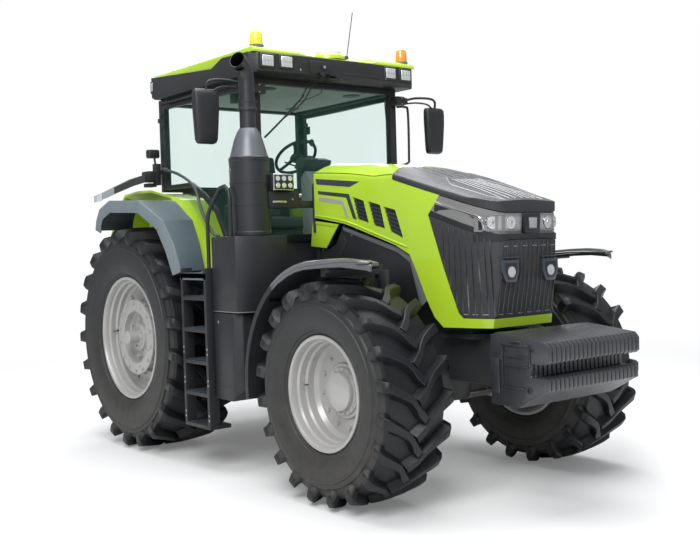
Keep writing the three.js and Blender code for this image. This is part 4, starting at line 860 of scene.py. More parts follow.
def addHoodTrim(bm):
    black, shiny, glass, dark, grey, pale, paint, mesh = range(8)
    for stripe, index in (("arrow", dark), ("darkHook", dark), ("greyHook", grey)):
        sidePatch(bm, hoodTrim[stripe], 0.0012, 0.004, index)
    for vent in hoodVents:
        sidePatch(bm, vent, -0.014, 0.004, black)
        (ax, az), (bx, bz), (cx, cz), (dx, dz) = vent
        for i in range(1, 6):
            t, u = i / 6, i / 6 + 0.05
            slat = [(ax + (dx - ax) * t, az + (dz - az) * t), (bx + (cx - bx) * t, bz + (cz - bz) * t),
                    (bx + (cx - bx) * u, bz + (cz - bz) * u), (ax + (dx - ax) * u, az + (dz - az) * u)]
            sidePatch(bm, slat, -0.006, 0.008, dark)
    shoulderLine = [(x, hoodSideZ(x) + 0.004) for x in (1.862, 2.0, 2.2, 2.4, 2.6, 2.7, 2.8)]
    sideLine(bm, shoulderLine, 0.0022, black, -0.006)
    sideLine(bm, hoodTrim["ridge"], 0.01, paint, -0.004)
    sidePatch(bm, hoodTrim["lens"], 0.0, 0.02, black)
    sidePatch(bm, hoodTrim["cornerLamp"], -0.004, 0.01, glass)
    sideLine(bm, hoodTrim["chrome"], 0.0065, shiny, -0.003)
    for side in (-1, 1):
        frontPatch(bm, side * 0.092, side * 0.362, 1.866, 1.968, -0.0105, 0.006, grey)
        for low, high in ((1.858, 1.868), (1.966, 1.976)):
            frontPatch(bm, side * 0.088, side * 0.366, low, high, -0.003, 0.012, pale)
        for y in (0.086, 0.362):
            frontPatch(bm, side * y, side * (y + 0.009), 1.858, 1.976, -0.003, 0.012, pale, steps=2)
        for y, z, turn in hoodTrim["lamps"]:
            out = Vector((math.cos(turn), side * math.sin(turn), 0))
            place = Vector((hoodFrontX(y, z) - 0.012, side * y, z))
            addRound(bm, place - out * 0.03, place + out * 0.006, 0.047, 0.045, sides=32, index=shiny,
                     bevel=0.002)
            addRound(bm, place, place + out * 0.0075, 0.039, 0.038, sides=28, index=glass)
            addRound(bm, place, place + out * 0.011, 0.013, 0.011, sides=16, index=shiny)
    for wide, top, narrow, low, back, front, bevel, index in hoodTrim["badge"]:
        addPrism(bm, [(-wide, top), (-narrow, low), (narrow, low), (wide, top)], back, front, "X", bevel,
                 index)
    chinLow = lambda y: 1.792 if abs(y) > 0.3 else 1.792 + (0.3 - abs(y)) * 0.1
    frontPatch(bm, -0.372, 0.372, chinLow, lambda y: 1.838, 0.01, 0.03, black, steps=16)

    # grille: upright ribs, mesh behind them, dash slots and two lamps in six-sided bezels
    ribYs = [-0.27 + 0.045 * i for i in range(13)]
    for y in ribYs:
        for low, high in ((1.275, 1.4), (1.4, 1.55), (1.55, 1.7), (1.7, 1.785)):
            frontPatch(bm, y - 0.004, y + 0.004, low, high, 0.005, 0.012, mesh, steps=1)
    for x in (3.3, 3.345, 3.39, 3.435, 3.48, 3.525, 3.57, 3.615, 3.65):
        top = along([(3.165, 1.985), (3.7, 1.8)], x) - 0.012
        low = max(1.275, along([(3.165, 1.985), (3.398, 1.3), (3.432, 1.266), (3.7, 1.262)], x) + 0.015)
        heights = [top + (low - top) * i / 4 for i in range(5)]
        for high, lower in zip(heights, heights[1:]):
            sidePatch(bm, oblong(x - 0.004, x + 0.004, lower, high), 0.0045, 0.012, mesh)
    for i in range(6):
        y = -0.235 + 0.094 * i
        for z in (1.288, 1.752):
            frontPatch(bm, y - 0.02, y + 0.02, z, z + 0.005, 0.0035, 0.006, grey, steps=1)
    for x in (3.45, 3.52, 3.59):
        sidePatch(bm, oblong(x - 0.018, x + 0.018, 1.29, 1.295), 0.003, 0.006, grey)
    for z in (1.462, 1.436):
        sidePatch(bm, [(3.355, z), (3.63, z - 0.004), (3.63, z + 0.002), (3.355, z + 0.006)], 0.004, 0.008,
                  dark)
    y0, z0 = hoodTrim["grilleLamps"]
    for side in (-1, 1):
        outline = [(-0.078, 0.082), (0.082, 0.082), (0.086, 0.0), (0.05, -0.072), (-0.046, -0.072),
                   (-0.078, 0.0)]
        x = hoodFrontX(y0, z0)
        ring = [(side * (y0 + u), z0 + v) for u, v in outline]
        addPrism(bm, ring, x - 0.01, x + 0.02, "X", bevel=0.006, index=dark)
        inner = [(side * (y0 + u * 0.74), z0 + v * 0.74) for u, v in outline]
        addPrism(bm, inner, x, x + 0.0205, "X", bevel=0.001, index=black)
        addRound(bm, (x, side * y0, z0), (x + 0.023, side * y0, z0), 0.045, 0.043, sides=28, index=dark,
                 bevel=0.002)
        addRound(bm, (x, side * y0, z0), (x + 0.0245, side * y0, z0), 0.037, 0.036, sides=28, index=glass)
        frontPatch(bm, side * (y0 - 0.09), side * (y0 + 0.09), z0 + 0.094, z0 + 0.102, 0.01, 0.016, dark,
                   steps=3)

    # dark panel with ribs let into the top cover
    panel = [(3.06, 0.15), (3.24, 0.29), (3.58, 0.255), (3.67, 0.19)]
    xs = [3.06 + 0.61 * i / 12 for i in range(13)]
    strips = []
    for x in xs:
        half = along(panel, x)
        strips.append([(x, half, coverTopZ(x, half) + 0.0015), (x, 0, coverTopZ(x, 0) + 0.0015),
                       (x, -half, coverTopZ(x, half) + 0.0015), (x, -half, coverTopZ(x, half) - 0.006),
                       (x, 0, coverTopZ(x, 0) - 0.006), (x, half, coverTopZ(x, half) - 0.006)])
    addLoft(bm, strips, index=dark)
    for i in range(-3, 4):
        a, b = 0.042 * i, 0.066 * i
        path = [(x, a + (b - a) * (x - 3.06) / 0.6) for x in (3.1, 3.25, 3.4, 3.55, 3.655)]
        addTube(bm, [(x, y, coverTopZ(x, y) + 0.001) for x, y in path], 0.0045, sides=6, steps=2, index=grey)
    edge = [(x, along(panel, x)) for x in xs]
    for side in (-1, 1):
        addTube(bm, [(x, side * y, coverTopZ(x, y) + 0.001) for x, y in edge], 0.005, sides=6, steps=1,
                index=grey)
    for y in (-0.15, -0.05, 0.05, 0.15):
        addTube(bm, [(x, y, coverTopZ(x, y)) for x in (2.7, 2.82, 2.94, 3.02)], 0.0035, sides=6, steps=2,
                index=black)


def coverTopZ(x, y):
    crown = 0.25 - 0.09 * min(1, max(0, (x - 2.9) / 0.8))
    top, wide, side = hoodTopZ(x), along(hood["plan"], x), hoodSideZ(x)
    share = max(0, (abs(y) - crown) / max(0.01, wide - crown))
    return top + 0.006 * max(0, 1 - abs(y) / crown) + (side + 0.012 - top) * share


def makeHood():
    panels = hoodPanels()
    for bm in panels.values():
        shellPanel(bm, hood["skin"], hood["gap"])
    finishPiece("hood_panels", panels["shell"], [lime], "hood", "lime_paint", ["hood_shell"])
    # the cover is one dark-grey plastic: its upward faces take a lighter grey (painted highlight) and its
    # steep sides the dark plastic (painted shade)
    for face in panels["cover"].faces:
        face.material_index = 1 if face.normal.z < 0.55 else 0
    finishPiece("hood_cover", panels["cover"], [coverTopPaintedHighlight, darkPlastic], "hood", "dark_plastic",
                ["hood_top_cover"])
    bmesh.ops.translate(panels["silver"], verts=panels["silver"].verts, vec=(-0.012, 0, 0))
    finishPiece("headlight_surround", panels["silver"], [silver], "hood", "silver_paint", ["headlight_panel"])
    finishPiece("chin_band", panels["chin"], [blackPlastic], "hood", "dark_plastic")
    finishPiece("grille_panel", panels["grille"], [grilleMesh], "hood", "dark_plastic", ["grille"])
    bm = bmesh.new()
    addHoodTrim(bm)
    finishPiece("hood_trim", bm, [blackPlastic, chrome, lampGlass, decalDark, decalGrey, silver, lime,
                                  sheetPaint],
                "hood", "dark_plastic", outward=False)
    print("hood made")


makeHood()


# front weights
weightBlock = {
    "rear": 3.7606, "front": 4.256, "half": 0.4796, "bottom": 0.7156, "top": 1.1965, "lip": 0.925,
    "slot": 1.008, "depth": 0.15, "plates": 22, "groove": 0.007, "edge": 0.007, "raised": 0.008,
}


def makeWeights():
    w = weightBlock
    rear, front, low, top, lip, slot = w["rear"], w["front"], w["bottom"], w["top"], w["lip"], w["slot"]
    outline = [
        (rear, low + 0.008), (front - 0.25, low), (front - 0.045, lip - 0.096), (front - 0.012, lip - 0.08),
        (front - 0.012, lip - 0.01), (front - 0.024, lip), (front - w["depth"], lip),
        (front - w["depth"], slot), (front - 0.02, slot + 0.002), (front, slot + 0.02), (front, top - 0.08),
        (front - 0.03, top - 0.045), (rear + 0.06, top), (rear, top - 0.02),
    ]
    bm = bmesh.new()
    half = w["half"] - w["raised"]
    pitch = 2 * half / w["plates"]
    for i in range(w["plates"]):
        start = -half + pitch * i
        addPrism(bm, outline, start + w["groove"] / 2, start + pitch - w["groove"] / 2, bevel=w["edge"])
    core = [(x - 0.016 if x > rear + 0.1 else x + 0.012,
             z - 0.014 if z > 1.05 else z + 0.012) for x, z in outline[:6]]
    core += [(front - w["depth"] - 0.014, lip - 0.012), (front - w["depth"] - 0.014, slot + 0.012),
             (front - 0.034, slot + 0.016), (front - 0.016, top - 0.09), (rear + 0.07, top - 0.016),
             (rear + 0.012, top - 0.036)]
    addPrism(bm, core, -half + 0.01, half - 0.01, index=1)
    for side in (-1, 1):
        face = side * half
        out = side * (half + w["raised"])
        # raised frame, handle slot, bolts and the bar that holds the pack
        for a, b in (((3.868, 0.842), (3.88, 1.128)), ((3.868, 1.116), (4.112, 1.128)),
                     ((4.098, 0.99), (4.11, 1.128)), ((3.868, 0.842), (4.06, 0.852)),
                     ((3.88, 0.985), (4.098, 0.991)), ((3.88, 1.045), (4.098, 1.051))):
            addBox(bm, (a[0], face, a[1]), (b[0], out, b[1]), 0.002)
        addPrism(bm, [(3.935, 1.125), (3.945, 1.152), (4.035, 1.15), (4.045, 1.125)], face, out, "Y", 0.003)
        addPrism(bm, [(3.945, 1.128), (3.953, 1.144), (4.027, 1.142), (4.035, 1.128)], face, out * 1.0005,
                 index=1)
        for x, z, r in ((3.895, 1.102, 0.021), (4.13, 1.098, 0.013), (4.103, 0.842, 0.021),
                        (3.88, 0.848, 0.01)):
            addRound(bm, (x, face, z), (x, face + side * 0.0035, z), r, bevel=0.001)
            addRound(bm, (x, face, z), (x, out, z), r * 0.62, sides=6, bevel=0.001, index=1)
        addBox(bm, (3.77, face, 0.796), (3.848, out, 1.03), 0.004)
        addBox(bm, (3.842, face, 1.018), (3.868, out, 1.052), 0.003)
    finishPiece("front_weight_pack", bm, [castDark, blackPlastic], "chassis", "cast_iron", ["front_weights"])


# panels beside the engine and the fixed lime corners below the hood
enginePanels = {
    "outer": 0.431, "thick": 0.017,
    "lime": [(1.798, 1.999), (2.138, 1.958), (1.968, 1.772), (1.759, 1.79)],
}


def enginePanel(bm):
    base = wheelBase
    outer, inner = -enginePanels["outer"], -enginePanels["outer"] + enginePanels["thick"]
    top = [(1.968, 1.762), (2.06, 1.8), (base - 0.753, 1.942)]
    front = [(-0.088, 1.765), (0.068, 1.69), (0.208, 1.38), (0.15, 1.341), (-0.01, 1.64), (-0.13, 1.7)]
    front = [(base + x, z) for x, z in front]
    edge = [(1.861, 1.79)] + top + front[:4] + [(base - 0.25, 1.385), (base - 0.45, 1.47), (1.96, 1.49),
                                                (1.861, 1.51)]
    addPrism(bm, edge, outer + 0.006, inner, bevel=0.004)
    band = top[2:] + front[:4] + [(base + 0.128, 1.372), (base + 0.036, 1.655), (base - 0.098, 1.728),
                                  (base - 0.74, 1.905)]
    addPrism(bm, band, outer, outer + 0.01, bevel=0.004, index=1)
    addPrism(bm, [(2.075, 1.775), (base - 0.762, 1.893), (base - 0.7, 1.812), (base - 0.8, 1.68),
                  (2.03, 1.615)],
             outer + 0.001, outer + 0.008, bevel=0.004)
    for x, z in ((1.895, 1.762), (1.895, 1.605), (base - 0.64, 1.868), (base + 0.03, 1.668),
                 (base + 0.172, 1.395)):
        addRound(bm, (x, outer + 0.008, z), (x, outer + 0.0005, z), 0.009, 0.008, sides=12, index=2)
    for x, z in ((1.99, 1.6), (base - 0.41, 1.69), (base - 0.07, 1.6)):
        addBox(bm, (x, inner - 0.002, z), (x + 0.05, -0.3004, z + 0.06), 0.003)
        addBox(bm, (x - 0.02, inner - 0.008, z), (x + 0.07, inner + 0.002, z + 0.12), 0.003)


def limeCorner(bm):
    outline = enginePanels["lime"]
    addPrism(bm, outline, -0.452, -0.44, bevel=0.003)
    addPrism(bm, [(1.802, 1.992), (2.12, 1.953), (2.104, 1.935), (1.8, 1.972)], -0.456, -0.445, bevel=0.003)
    addBox(bm, (1.8, -0.442, 1.86), (1.835, -0.3, 1.89), 0.003, index=1)
    addBox(bm, (1.96, -0.442, 1.8), (1.99, -0.33, 1.83), 0.003, index=1)


castDark = surface("castDark", (0.03, 0.033, 0.037), 0.34, shade=0.2, grain=0.5, grainScale=260, coat=0.6,
                   coatRough=0.22)
panelEdge = surface("panelEdge", (0.16, 0.17, 0.18), 0.38, shade=0.1)
makeWeights()
bothSides(enginePanel, "engine_side_panel", ["chassis", "chassis"], [blackPlastic, panelEdge, steel],
          "dark_plastic", replaces=["engine_panel"])
bothSides(limeCorner, "lime_corner", ["chassis", "chassis"], [lime, blackPlastic], "lime_paint")


def makeCowlSeal():
    bm = bmesh.new()
    arch = [(1.826, y, z) for y, z in ((-0.452, 1.9), (-0.454, 2.2), (-0.446, 2.295), (-0.38, 2.33),
                                       (-0.22, 2.342), (0, 2.345))]
    arch += [(x, -y, z) for x, y, z in arch[-2::-1]]
    addTube(bm, arch, 0.014, sides=12, steps=4)
    finishPiece("cowl_seal", bm, [sealRubber], "chassis", "dark_plastic")


makeCowlSeal()
print("weights and engine panels made")


def softNode(node, width, angle=25, segments=2):
    bm = copyNode(node)
    soften(bm, bm.verts, width, segments, angle)
    return bm


def addInto(bm, other):
    mesh = bpy.data.meshes.new("held")
    other.to_mesh(mesh)
    other.free()
    bm.from_mesh(mesh)
    bpy.data.meshes.remove(mesh)


# the cab's front stands back under the roof and is a little narrower than its rear
cabTaper = {"from": 0.3, "to": 1.56, "back": 0.165, "narrow": 0.055, "low": 1.9, "high": 2.3}


def smooth01(value, low, high):
    share = min(1, max(0, (value - low) / (high - low)))
    return share * share * (3 - 2 * share)


def taperCab(bm):
    t = cabTaper
    for axis, places in ((0, (0.3, 0.6, 0.9, 1.2)), (2, (1.9, 2.0, 2.1, 2.2, 2.3))):
        for place in places:
            normal = Vector((0, 0, 0))
            normal[axis] = 1
            bmesh.ops.bisect_plane(bm, geom=everyPart(bm), plane_co=normal * place,
                                   plane_no=normal, dist=1e-6)
    for vert in bm.verts:
        share = smooth01(vert.co.x, t["from"], t["to"]) * smooth01(vert.co.z, t["low"], t["high"])
        vert.co.x -= t["back"] * share
        vert.co.y *= 1 - t["narrow"] * share


# fenders
fenderTrim = {"lift": 0.034, "lipRadius": 0.906, "lipOut": 1.2846}


def rearFender(bm):
    addInto(bm, softNode("rear_fender_right", 0.006))
    bmesh.ops.bisect_plane(bm, geom=everyPart(bm), plane_co=(0, -0.865, 0), plane_no=(0, 1, 0), dist=1e-6)
    for vert in bm.verts:
        vert.co.z += fenderTrim["lift"] * smooth01(-vert.co.y, 0.866, 0.968) * smooth01(vert.co.z, 1.75, 2.15)


def fenderExtension(bm):
    addInto(bm, softNode("fender_extension_right", 0.009, 18, 3))
    # the outward faces take a paler copy of the grey plastic: painted highlight along the skirt
    for face in bm.faces:
        face.material_index = 1 if face.normal.y < -0.6 else 0


def frontFender(bm):
    addInto(bm, softNode("front_fender_right", 0.005, 20))
    # upward and outward faces of the black fender take a light glossy grey: painted highlight
    for face in bm.faces:
        face.material_index = 1 if face.normal.z > 0.25 or face.normal.y < -0.6 else 0
    # rolled outer lip that follows the wheel and runs out along the nose
    section = [(0.006, -0.07), (0.008, -0.03), (0.002, -0.01), (-0.014, -0.001), (-0.05, 0.0),
               (-0.052, -0.008), (-0.02, -0.012), (-0.01, -0.03), (-0.012, -0.07)]
    rings = []
    for degrees in range(188, 89, -7):
        a = math.radians(degrees)
        rings.append([(wheelBase + (fenderTrim["lipRadius"] + u) * math.cos(a), -fenderTrim["lipOut"] - v,
                       0.785 + (fenderTrim["lipRadius"] + u) * math.sin(a)) for u, v in section])
    for x, z, inset in ((wheelBase + 0.16, 1.7, 0), (wheelBase + 0.32, 1.703, 0),
                        (wheelBase + 0.47, 1.692, 0.0), (wheelBase + 0.53, 1.682, 0.04),
                        (wheelBase + 0.556, 1.672, 0.058)):
        rings.append([(x, -fenderTrim["lipOut"] + inset - v, z + u) for u, v in section])
    # the rolled lip takes the same light grey, a painted highlight, and below z 1.52 goes back to black
    addLoft(bm, rings, index=1)
    for face in bm.faces:
        if face.calc_center_median().z < 1.52:
            face.material_index = 0
    addTube(bm, [(wheelBase - 0.6, -0.8, 1.38), (wheelBase - 0.6, -1.24, 1.4)], 0.014)
    addTube(bm, [(wheelBase + 0.12, -0.8, 1.64), (wheelBase + 0.12, -1.24, 1.645)], 0.014)


# work lamp on its stalk and the long tail-lamp arm, both on the cab's rear pillar
def rearLamps(bm):
    addBox(bm, (-0.115, -0.9, 2.4), (-0.05, -0.842, 2.6), 0.006)
    addTube(bm, [(-0.09, -0.88, 2.59), (-0.095, -0.885, 2.65), (-0.105, -0.885, 2.665)], 0.01)
    addBox(bm, (-0.165, -0.94, 2.655), (-0.085, -0.83, 2.735), 0.014, segments=3)
    addBox(bm, (-0.17, -0.93, 2.665), (-0.162, -0.84, 2.725), 0.003, index=1)


def tailLamps(bm):
    addBox(bm, (-0.215, -0.965, 2.432), (-0.07, -0.86, 2.532), 0.01)
    addBox(bm, (-0.2, -0.955, 2.385), (-0.09, -0.87, 2.42), 0.006)
    section = lambda x, y, low, high, deep: [(x - deep, y, high), (x - deep, y, low), (x + deep, y, low),
                                             (x + deep, y, high)]
    route = [section(-0.15, -0.9, 2.452, 2.52, 0.045), section(-0.23, -1.06, 2.398, 2.466, 0.04),
             section(-0.33, -1.235, 2.315, 2.372, 0.034), section(-0.398, -1.345, 2.262, 2.306, 0.026)]
    addLoft(bm, route)
    lens = [section(-0.322, -1.215, 2.322, 2.384, 0.041), section(-0.392, -1.34, 2.258, 2.318, 0.032)]
    addLoft(bm, lens, index=4)
    lens = [section(-0.378, -1.312, 2.266, 2.332, 0.043), section(-0.4, -1.351, 2.256, 2.314, 0.032)]
    addLoft(bm, lens, index=1)
    addBox(bm, (-0.412, -1.33, 2.275), (-0.395, -1.29, 2.305), 0.003, index=2)
    addBox(bm, (-0.385, -1.27, 2.3), (-0.37, -1.225, 2.33), 0.003, index=3)


# exhaust stack and its enclosure
stackShape = {
    "x": 1.728, "y": -1.0, "canister": 0.16, "pipe": 0.0635, "collar": 0.0738, "base": 1.8873,
    "canisterTop": 2.5, "coneTop": 2.725, "collarZ": (2.86, 2.945), "bend": 3.09,
    "bendTurn": math.radians(70), "bendReach": 0.15, "outletTurn": 0.46,
}


def makeStack():
    s = stackShape
    x, y = s["x"], s["y"]
    bm = bmesh.new()
    profile = [
        (0.0, s["base"]), (s["canister"] - 0.004, s["base"]), (s["canister"], s["base"] + 0.006),
        (s["canister"], s["base"] + 0.03), (s["canister"] - 0.003, s["base"] + 0.034),
        (s["canister"] - 0.003, 2.466), (s["canister"], 2.47), (s["canister"], s["canisterTop"] - 0.006),
        (s["canister"] - 0.006, s["canisterTop"]),
    ]
    addTurned(bm, profile + [(0.0, s["canisterTop"])], (x, y, 0), 48, 0, "Z")
    cone = [(0.0, s["canisterTop"] - 0.004), (s["canister"] - 0.007, s["canisterTop"] - 0.003),
            (s["canister"] - 0.012, 2.512), (0.112, 2.64), (0.086, 2.7), (s["pipe"] + 0.004, s["coneTop"]),
            (0.0, s["coneTop"])]
    addTurned(bm, cone, (x, y, 0), 48, 1, "Z")
    low, high = s["collarZ"]
    pipe = [(0.0, 2.715), (s["pipe"], 2.716), (s["pipe"], low), (s["collar"], low + 0.003),
            (s["collar"], low + 0.02), (s["collar"] - 0.004, low + 0.024),
            (s["collar"] - 0.004, high - 0.024), (s["collar"], high - 0.02),
            (s["collar"], high - 0.003), (s["pipe"], high), (s["pipe"], high + 0.01), (0.0, high + 0.01)]
    addTurned(bm, pipe, (x, y, 0), 40, 0, "Z")
    sections = []
    for i in range(11):
        turn = s["bendTurn"] * i / 10
        midY, midZ = y - s["bendReach"] * (1 - math.cos(turn)), s["bend"] + s["bendReach"] * math.sin(turn)
        sections.append(((midY, midZ), turn))
    rings = [[(x + s["pipe"] * math.cos(a), y + s["pipe"] * math.sin(a), high) for a in evenTurns(32)]]
    for (midY, midZ), turn in sections:
        ring = []
        for a in evenTurns(32):
            across = s["pipe"] * math.sin(a)
            ring.append((x + s["pipe"] * math.cos(a), midY + across * math.cos(turn),
                         midZ + across * math.sin(turn)))
        rings.append(ring)
    (midY, midZ), turn = sections[-1]
    tip = [(px, py - math.sin(turn) * 0.034, pz + math.cos(turn) * 0.034) for px, py, pz in rings[-1]]
    rings.append(tip)
    inner = [(x + (px - x) * 0.94, midY + (py - midY) * 0.96,
              midZ + (pz - midZ) * 0.96) for px, py, pz in tip]
    (deepY, deepZ), deepTurn = sections[-5]
    deep = []
    for a in evenTurns(32):
        across = s["pipe"] * 0.92 * math.sin(a)
        deep.append((x + s["pipe"] * 0.92 * math.cos(a), deepY + across * math.cos(deepTurn),
                     deepZ + across * math.sin(deepTurn)))
    bent = addLoft(bm, rings + [inner, deep])
    hollow = set(bent[-64:])
    for face in bm.faces:
        if hollow.issuperset(face.verts):
            face.material_index = 2
    bmesh.ops.rotate(bm, verts=bent, cent=(x, y, 0), matrix=Matrix.Rotation(s["outletTurn"], 3, "Z"))
    out = Vector((-0.3, -0.954, 0)).normalized()
    place = Vector((x, y, 2.395))
    addRound(bm, place + out * 0.15, place + out * 0.1598, 0.024, 0.021, sides=20, index=1, bevel=0.002)
    for z in (2.13, 2.3):
        addTurned(bm, [(s["canister"] - 0.004, z - 0.01), (s["canister"] - 0.0005, z - 0.008),
                       (s["canister"] - 0.0005, z + 0.008), (s["canister"] - 0.004, z + 0.01)], (x, y, 0), 48,
                  0, "Z")
    finishPiece("exhaust_stack_body", bm, [stackPaint, stackPale, soot], "chassis", "dark_plastic",
                ["exhaust_stack"], outward=False)


def makeEnclosure():
    bm = softNode("exhaust_enclosure", 0.008)
    for y in (-1.1, -0.98, -0.86):
        addRound(bm, (1.47, y, 1.872), (1.4663, y, 1.872), 0.008, 0.007, sides=10, index=1)
    for x in (1.5, 1.6, 1.7, 1.8):
        addRound(bm, (x, -1.212, 1.868), (x, -1.2148, 1.868), 0.008, 0.007, sides=10, index=1)
    for z, height, index in ((1.388, 0.005, 2), (1.296, 0.006, 1)):
        addBox(bm, (1.468, -1.2152, z), (1.822, -1.2142, z + height), index=index)
        slope = [(1.824, -1.2149), (1.8249, -1.2152), (1.8853, -1.0752), (1.8844, -1.0748)]
        addPrism(bm, slope, z, z + height, "Z", index=index)
    addPrism(bm, [(1.53, 1.8), (1.76, 1.8), (1.8, 1.44), (1.53, 1.44)], -1.2152, -1.2135, bevel=0.001)
    finishPiece("exhaust_box", bm, [boxPlastic, steel, blackPlastic], "chassis", "dark_plastic",
                ["exhaust_enclosure"])


def sideTank(bm):
    addInto(bm, softNode("side_tank_right", 0.01))
    addPrism(bm, [(1.5, 1.24), (1.745, 1.24), (1.745, 0.8), (1.5, 0.8)], -1.2152, -1.2125, bevel=0.002,
             index=1)
    addPrism(bm, [(1.508, 1.232), (1.737, 1.232), (1.737, 0.808), (1.508, 0.808)], -1.21535, -1.2125,
             bevel=0.002)
    addBox(bm, (1.52, -1.2158, 1.196), (1.56, -1.214, 1.236), 0.001, index=1)
    addRound(bm, (1.54, -1.214, 1.216), (1.54, -1.2159, 1.216), 0.011, sides=16, index=2)
    addBox(bm, (1.52, -1.2158, 0.99), (1.72, -1.214, 0.998), 0.0005, index=1)
    addBox(bm, (1.47, -1.2153, 0.7), (1.745, -1.2135, 0.712), 0.0005, index=1)
    for x in (1.12, 1.22, 1.32, 1.42):
        addRound(bm, (x, -0.958, 1.2), (x, -0.9608, 1.2), 0.01, sides=10, index=2)
    addBox(bm, (1.1, -0.9606, 1.0), (1.44, -0.958, 1.012), 0.0005, index=1)
    addRound(bm, (1.22, -0.82, 1.285), (1.22, -0.82, 1.335), 0.055, 0.05, sides=32, index=1, bevel=0.004)
    for a in evenTurns(12):
        addRound(bm, (1.22 + 0.054 * math.cos(a), -0.82 + 0.054 * math.sin(a), 1.292),
                 (1.22 + 0.05 * math.cos(a), -0.82 + 0.05 * math.sin(a), 1.33), 0.006, sides=6, index=1)


# ladders: rails, hung lowest step, textured treads
def ladderDetail(bm, right):
    rear, front, outer = 1.03, 1.44, 1.262
    for z in (0.345, 0.604, 0.863, 1.122, 1.381):
        for i in range(9):
            x = rear + 0.055 + i * 0.0375
            for j in range(4):
                y = -outer + 0.03 + j * 0.042
                addBolt(bm, (x, y, z + 0.029), (0, 0, 1), 0.0085, 0.004, 1)
        addBox(bm, (rear + 0.032, -outer + 0.0002, z + 0.004), (front - 0.032, -outer + 0.006, z + 0.026),
               0.001, index=1)
    for i in range(10):
        for j in range(9):
            addBolt(bm, (rear + 0.035 + i * 0.038, -outer + 0.03 + j * 0.045, 1.5995), (0, 0, 1), 0.008,
                    0.003, 1)
    for z in (0.42, 0.46, 0.7, 0.74, 0.95, 0.99):
        for x in (rear + 0.015, front - 0.015):
            addBolt(bm, (x, -outer, z), (0, -1, 0), 0.009, 0.0008, 2, 8)
    addTube(bm, [(1.1, -1.06, 0.98), (1.16, -1.05, 0.8), (1.36, -1.05, 0.64), (1.4, -1.02, 0.62)], 0.014,
            index=1)
    if right:
        addBox(bm, (1.02, -1.262, 1.545), (1.44, -1.255, 1.602), 0.002, index=1)


def makeLadders():  # only the right one carries the tall handrail beside the stack
    for side in ("right", "left"):
        bm = copyNode(f"ladder_{side}")
        if side == "left":
            flipSides(bm)
        soften(bm, bm.verts, 0.003, 2, 40)
        ladderDetail(bm, side == "right")
        if side == "left":
            flipSides(bm)
        finishPiece(f"ladder_frame_{side}", bm, [blackPlastic, greyPlastic, steel], "chassis", "dark_plastic",
                    [f"ladder_{side}"], outward=False)


# mirrors
mirrorShape = {"x": 1.592, "y": 1.225, "width": 0.225, "depth": 0.08, "low": 2.6235, "high": 3.0525,
               "back": -0.11}


def mirror(bm):
    m = mirrorShape
    x, y = m["x"], -m["y"]
    middle, half = (m["low"] + m["high"]) / 2, (m["high"] - m["low"]) / 2
    sections = []
    for t in (-1, -0.96, -0.86, -0.6, -0.2, 0.3, 0.7, 0.88, 0.97, 1.0):
        z = middle + half * t
        end = math.sqrt(max(0, 1 - max(0, abs(t) - 0.8) ** 2 / 0.04)) if abs(t) > 0.8 else 1
        wide = m["width"] / 2 * (0.84 + 0.16 * min(1, (t + 1) / 1.4)) * (0.72 + 0.28 * end)
        deep = m["depth"] * (0.55 + 0.45 * end) * (0.8 + 0.2 * min(1, (t + 1) / 1.2))
        ring = []
        for a in evenTurns(28):
            c, s = math.cos(a), math.sin(a)
            u = wide * math.copysign(abs(c) ** 0.55, c)
            v = math.copysign(abs(s) ** (0.75 if s > 0 else 0.25), s)
            ring.append((x - m["depth"] / 2 + deep * (0.5 + 0.5 * v), y + u, z))
        sections.append(ring)
    addLoft(bm, sections)
    addBox(bm, (x - 0.0402, y - 0.092, m["low"] + 0.12), (x - 0.037, y + 0.092, m["high"] - 0.036), 0.0015,
           index=1)
    addBox(bm, (x - 0.0402, y - 0.084, m["low"] + 0.036), (x - 0.037, y + 0.084, m["low"] + 0.106), 0.0015,
           index=1)
    addTube(bm, [(x + 0.049, -0.8, 3.08), (x + 0.05, -0.93, 3.115), (x + 0.046, -1.12, 3.125),
                 (x + 0.02, -1.215, 3.105), (x + 0.004, y, 3.035)], 0.011, sides=12)
    addTube(bm, [(x + 0.049, -0.8, 3.055), (x + 0.048, -0.95, 3.075), (x + 0.04, -1.1, 3.07),
                 (x + 0.02, -1.18, 3.03), (x + 0.01, -1.19, 2.985)], 0.008)
    addBox(bm, (1.565, -0.8, 3.041), (1.661, -0.705, 3.119), 0.005)
    addBox(bm, (1.57, -0.835, 3.05), (1.665, -0.77, 3.11), 0.008)
    for z in (3.052, 3.108):
        addBolt(bm, (1.661, -0.765, z), (1, 0, 0), 0.007, 0.004, 2)
    bmesh.ops.translate(bm, verts=bm.verts, vec=(m["back"], 0, 0))


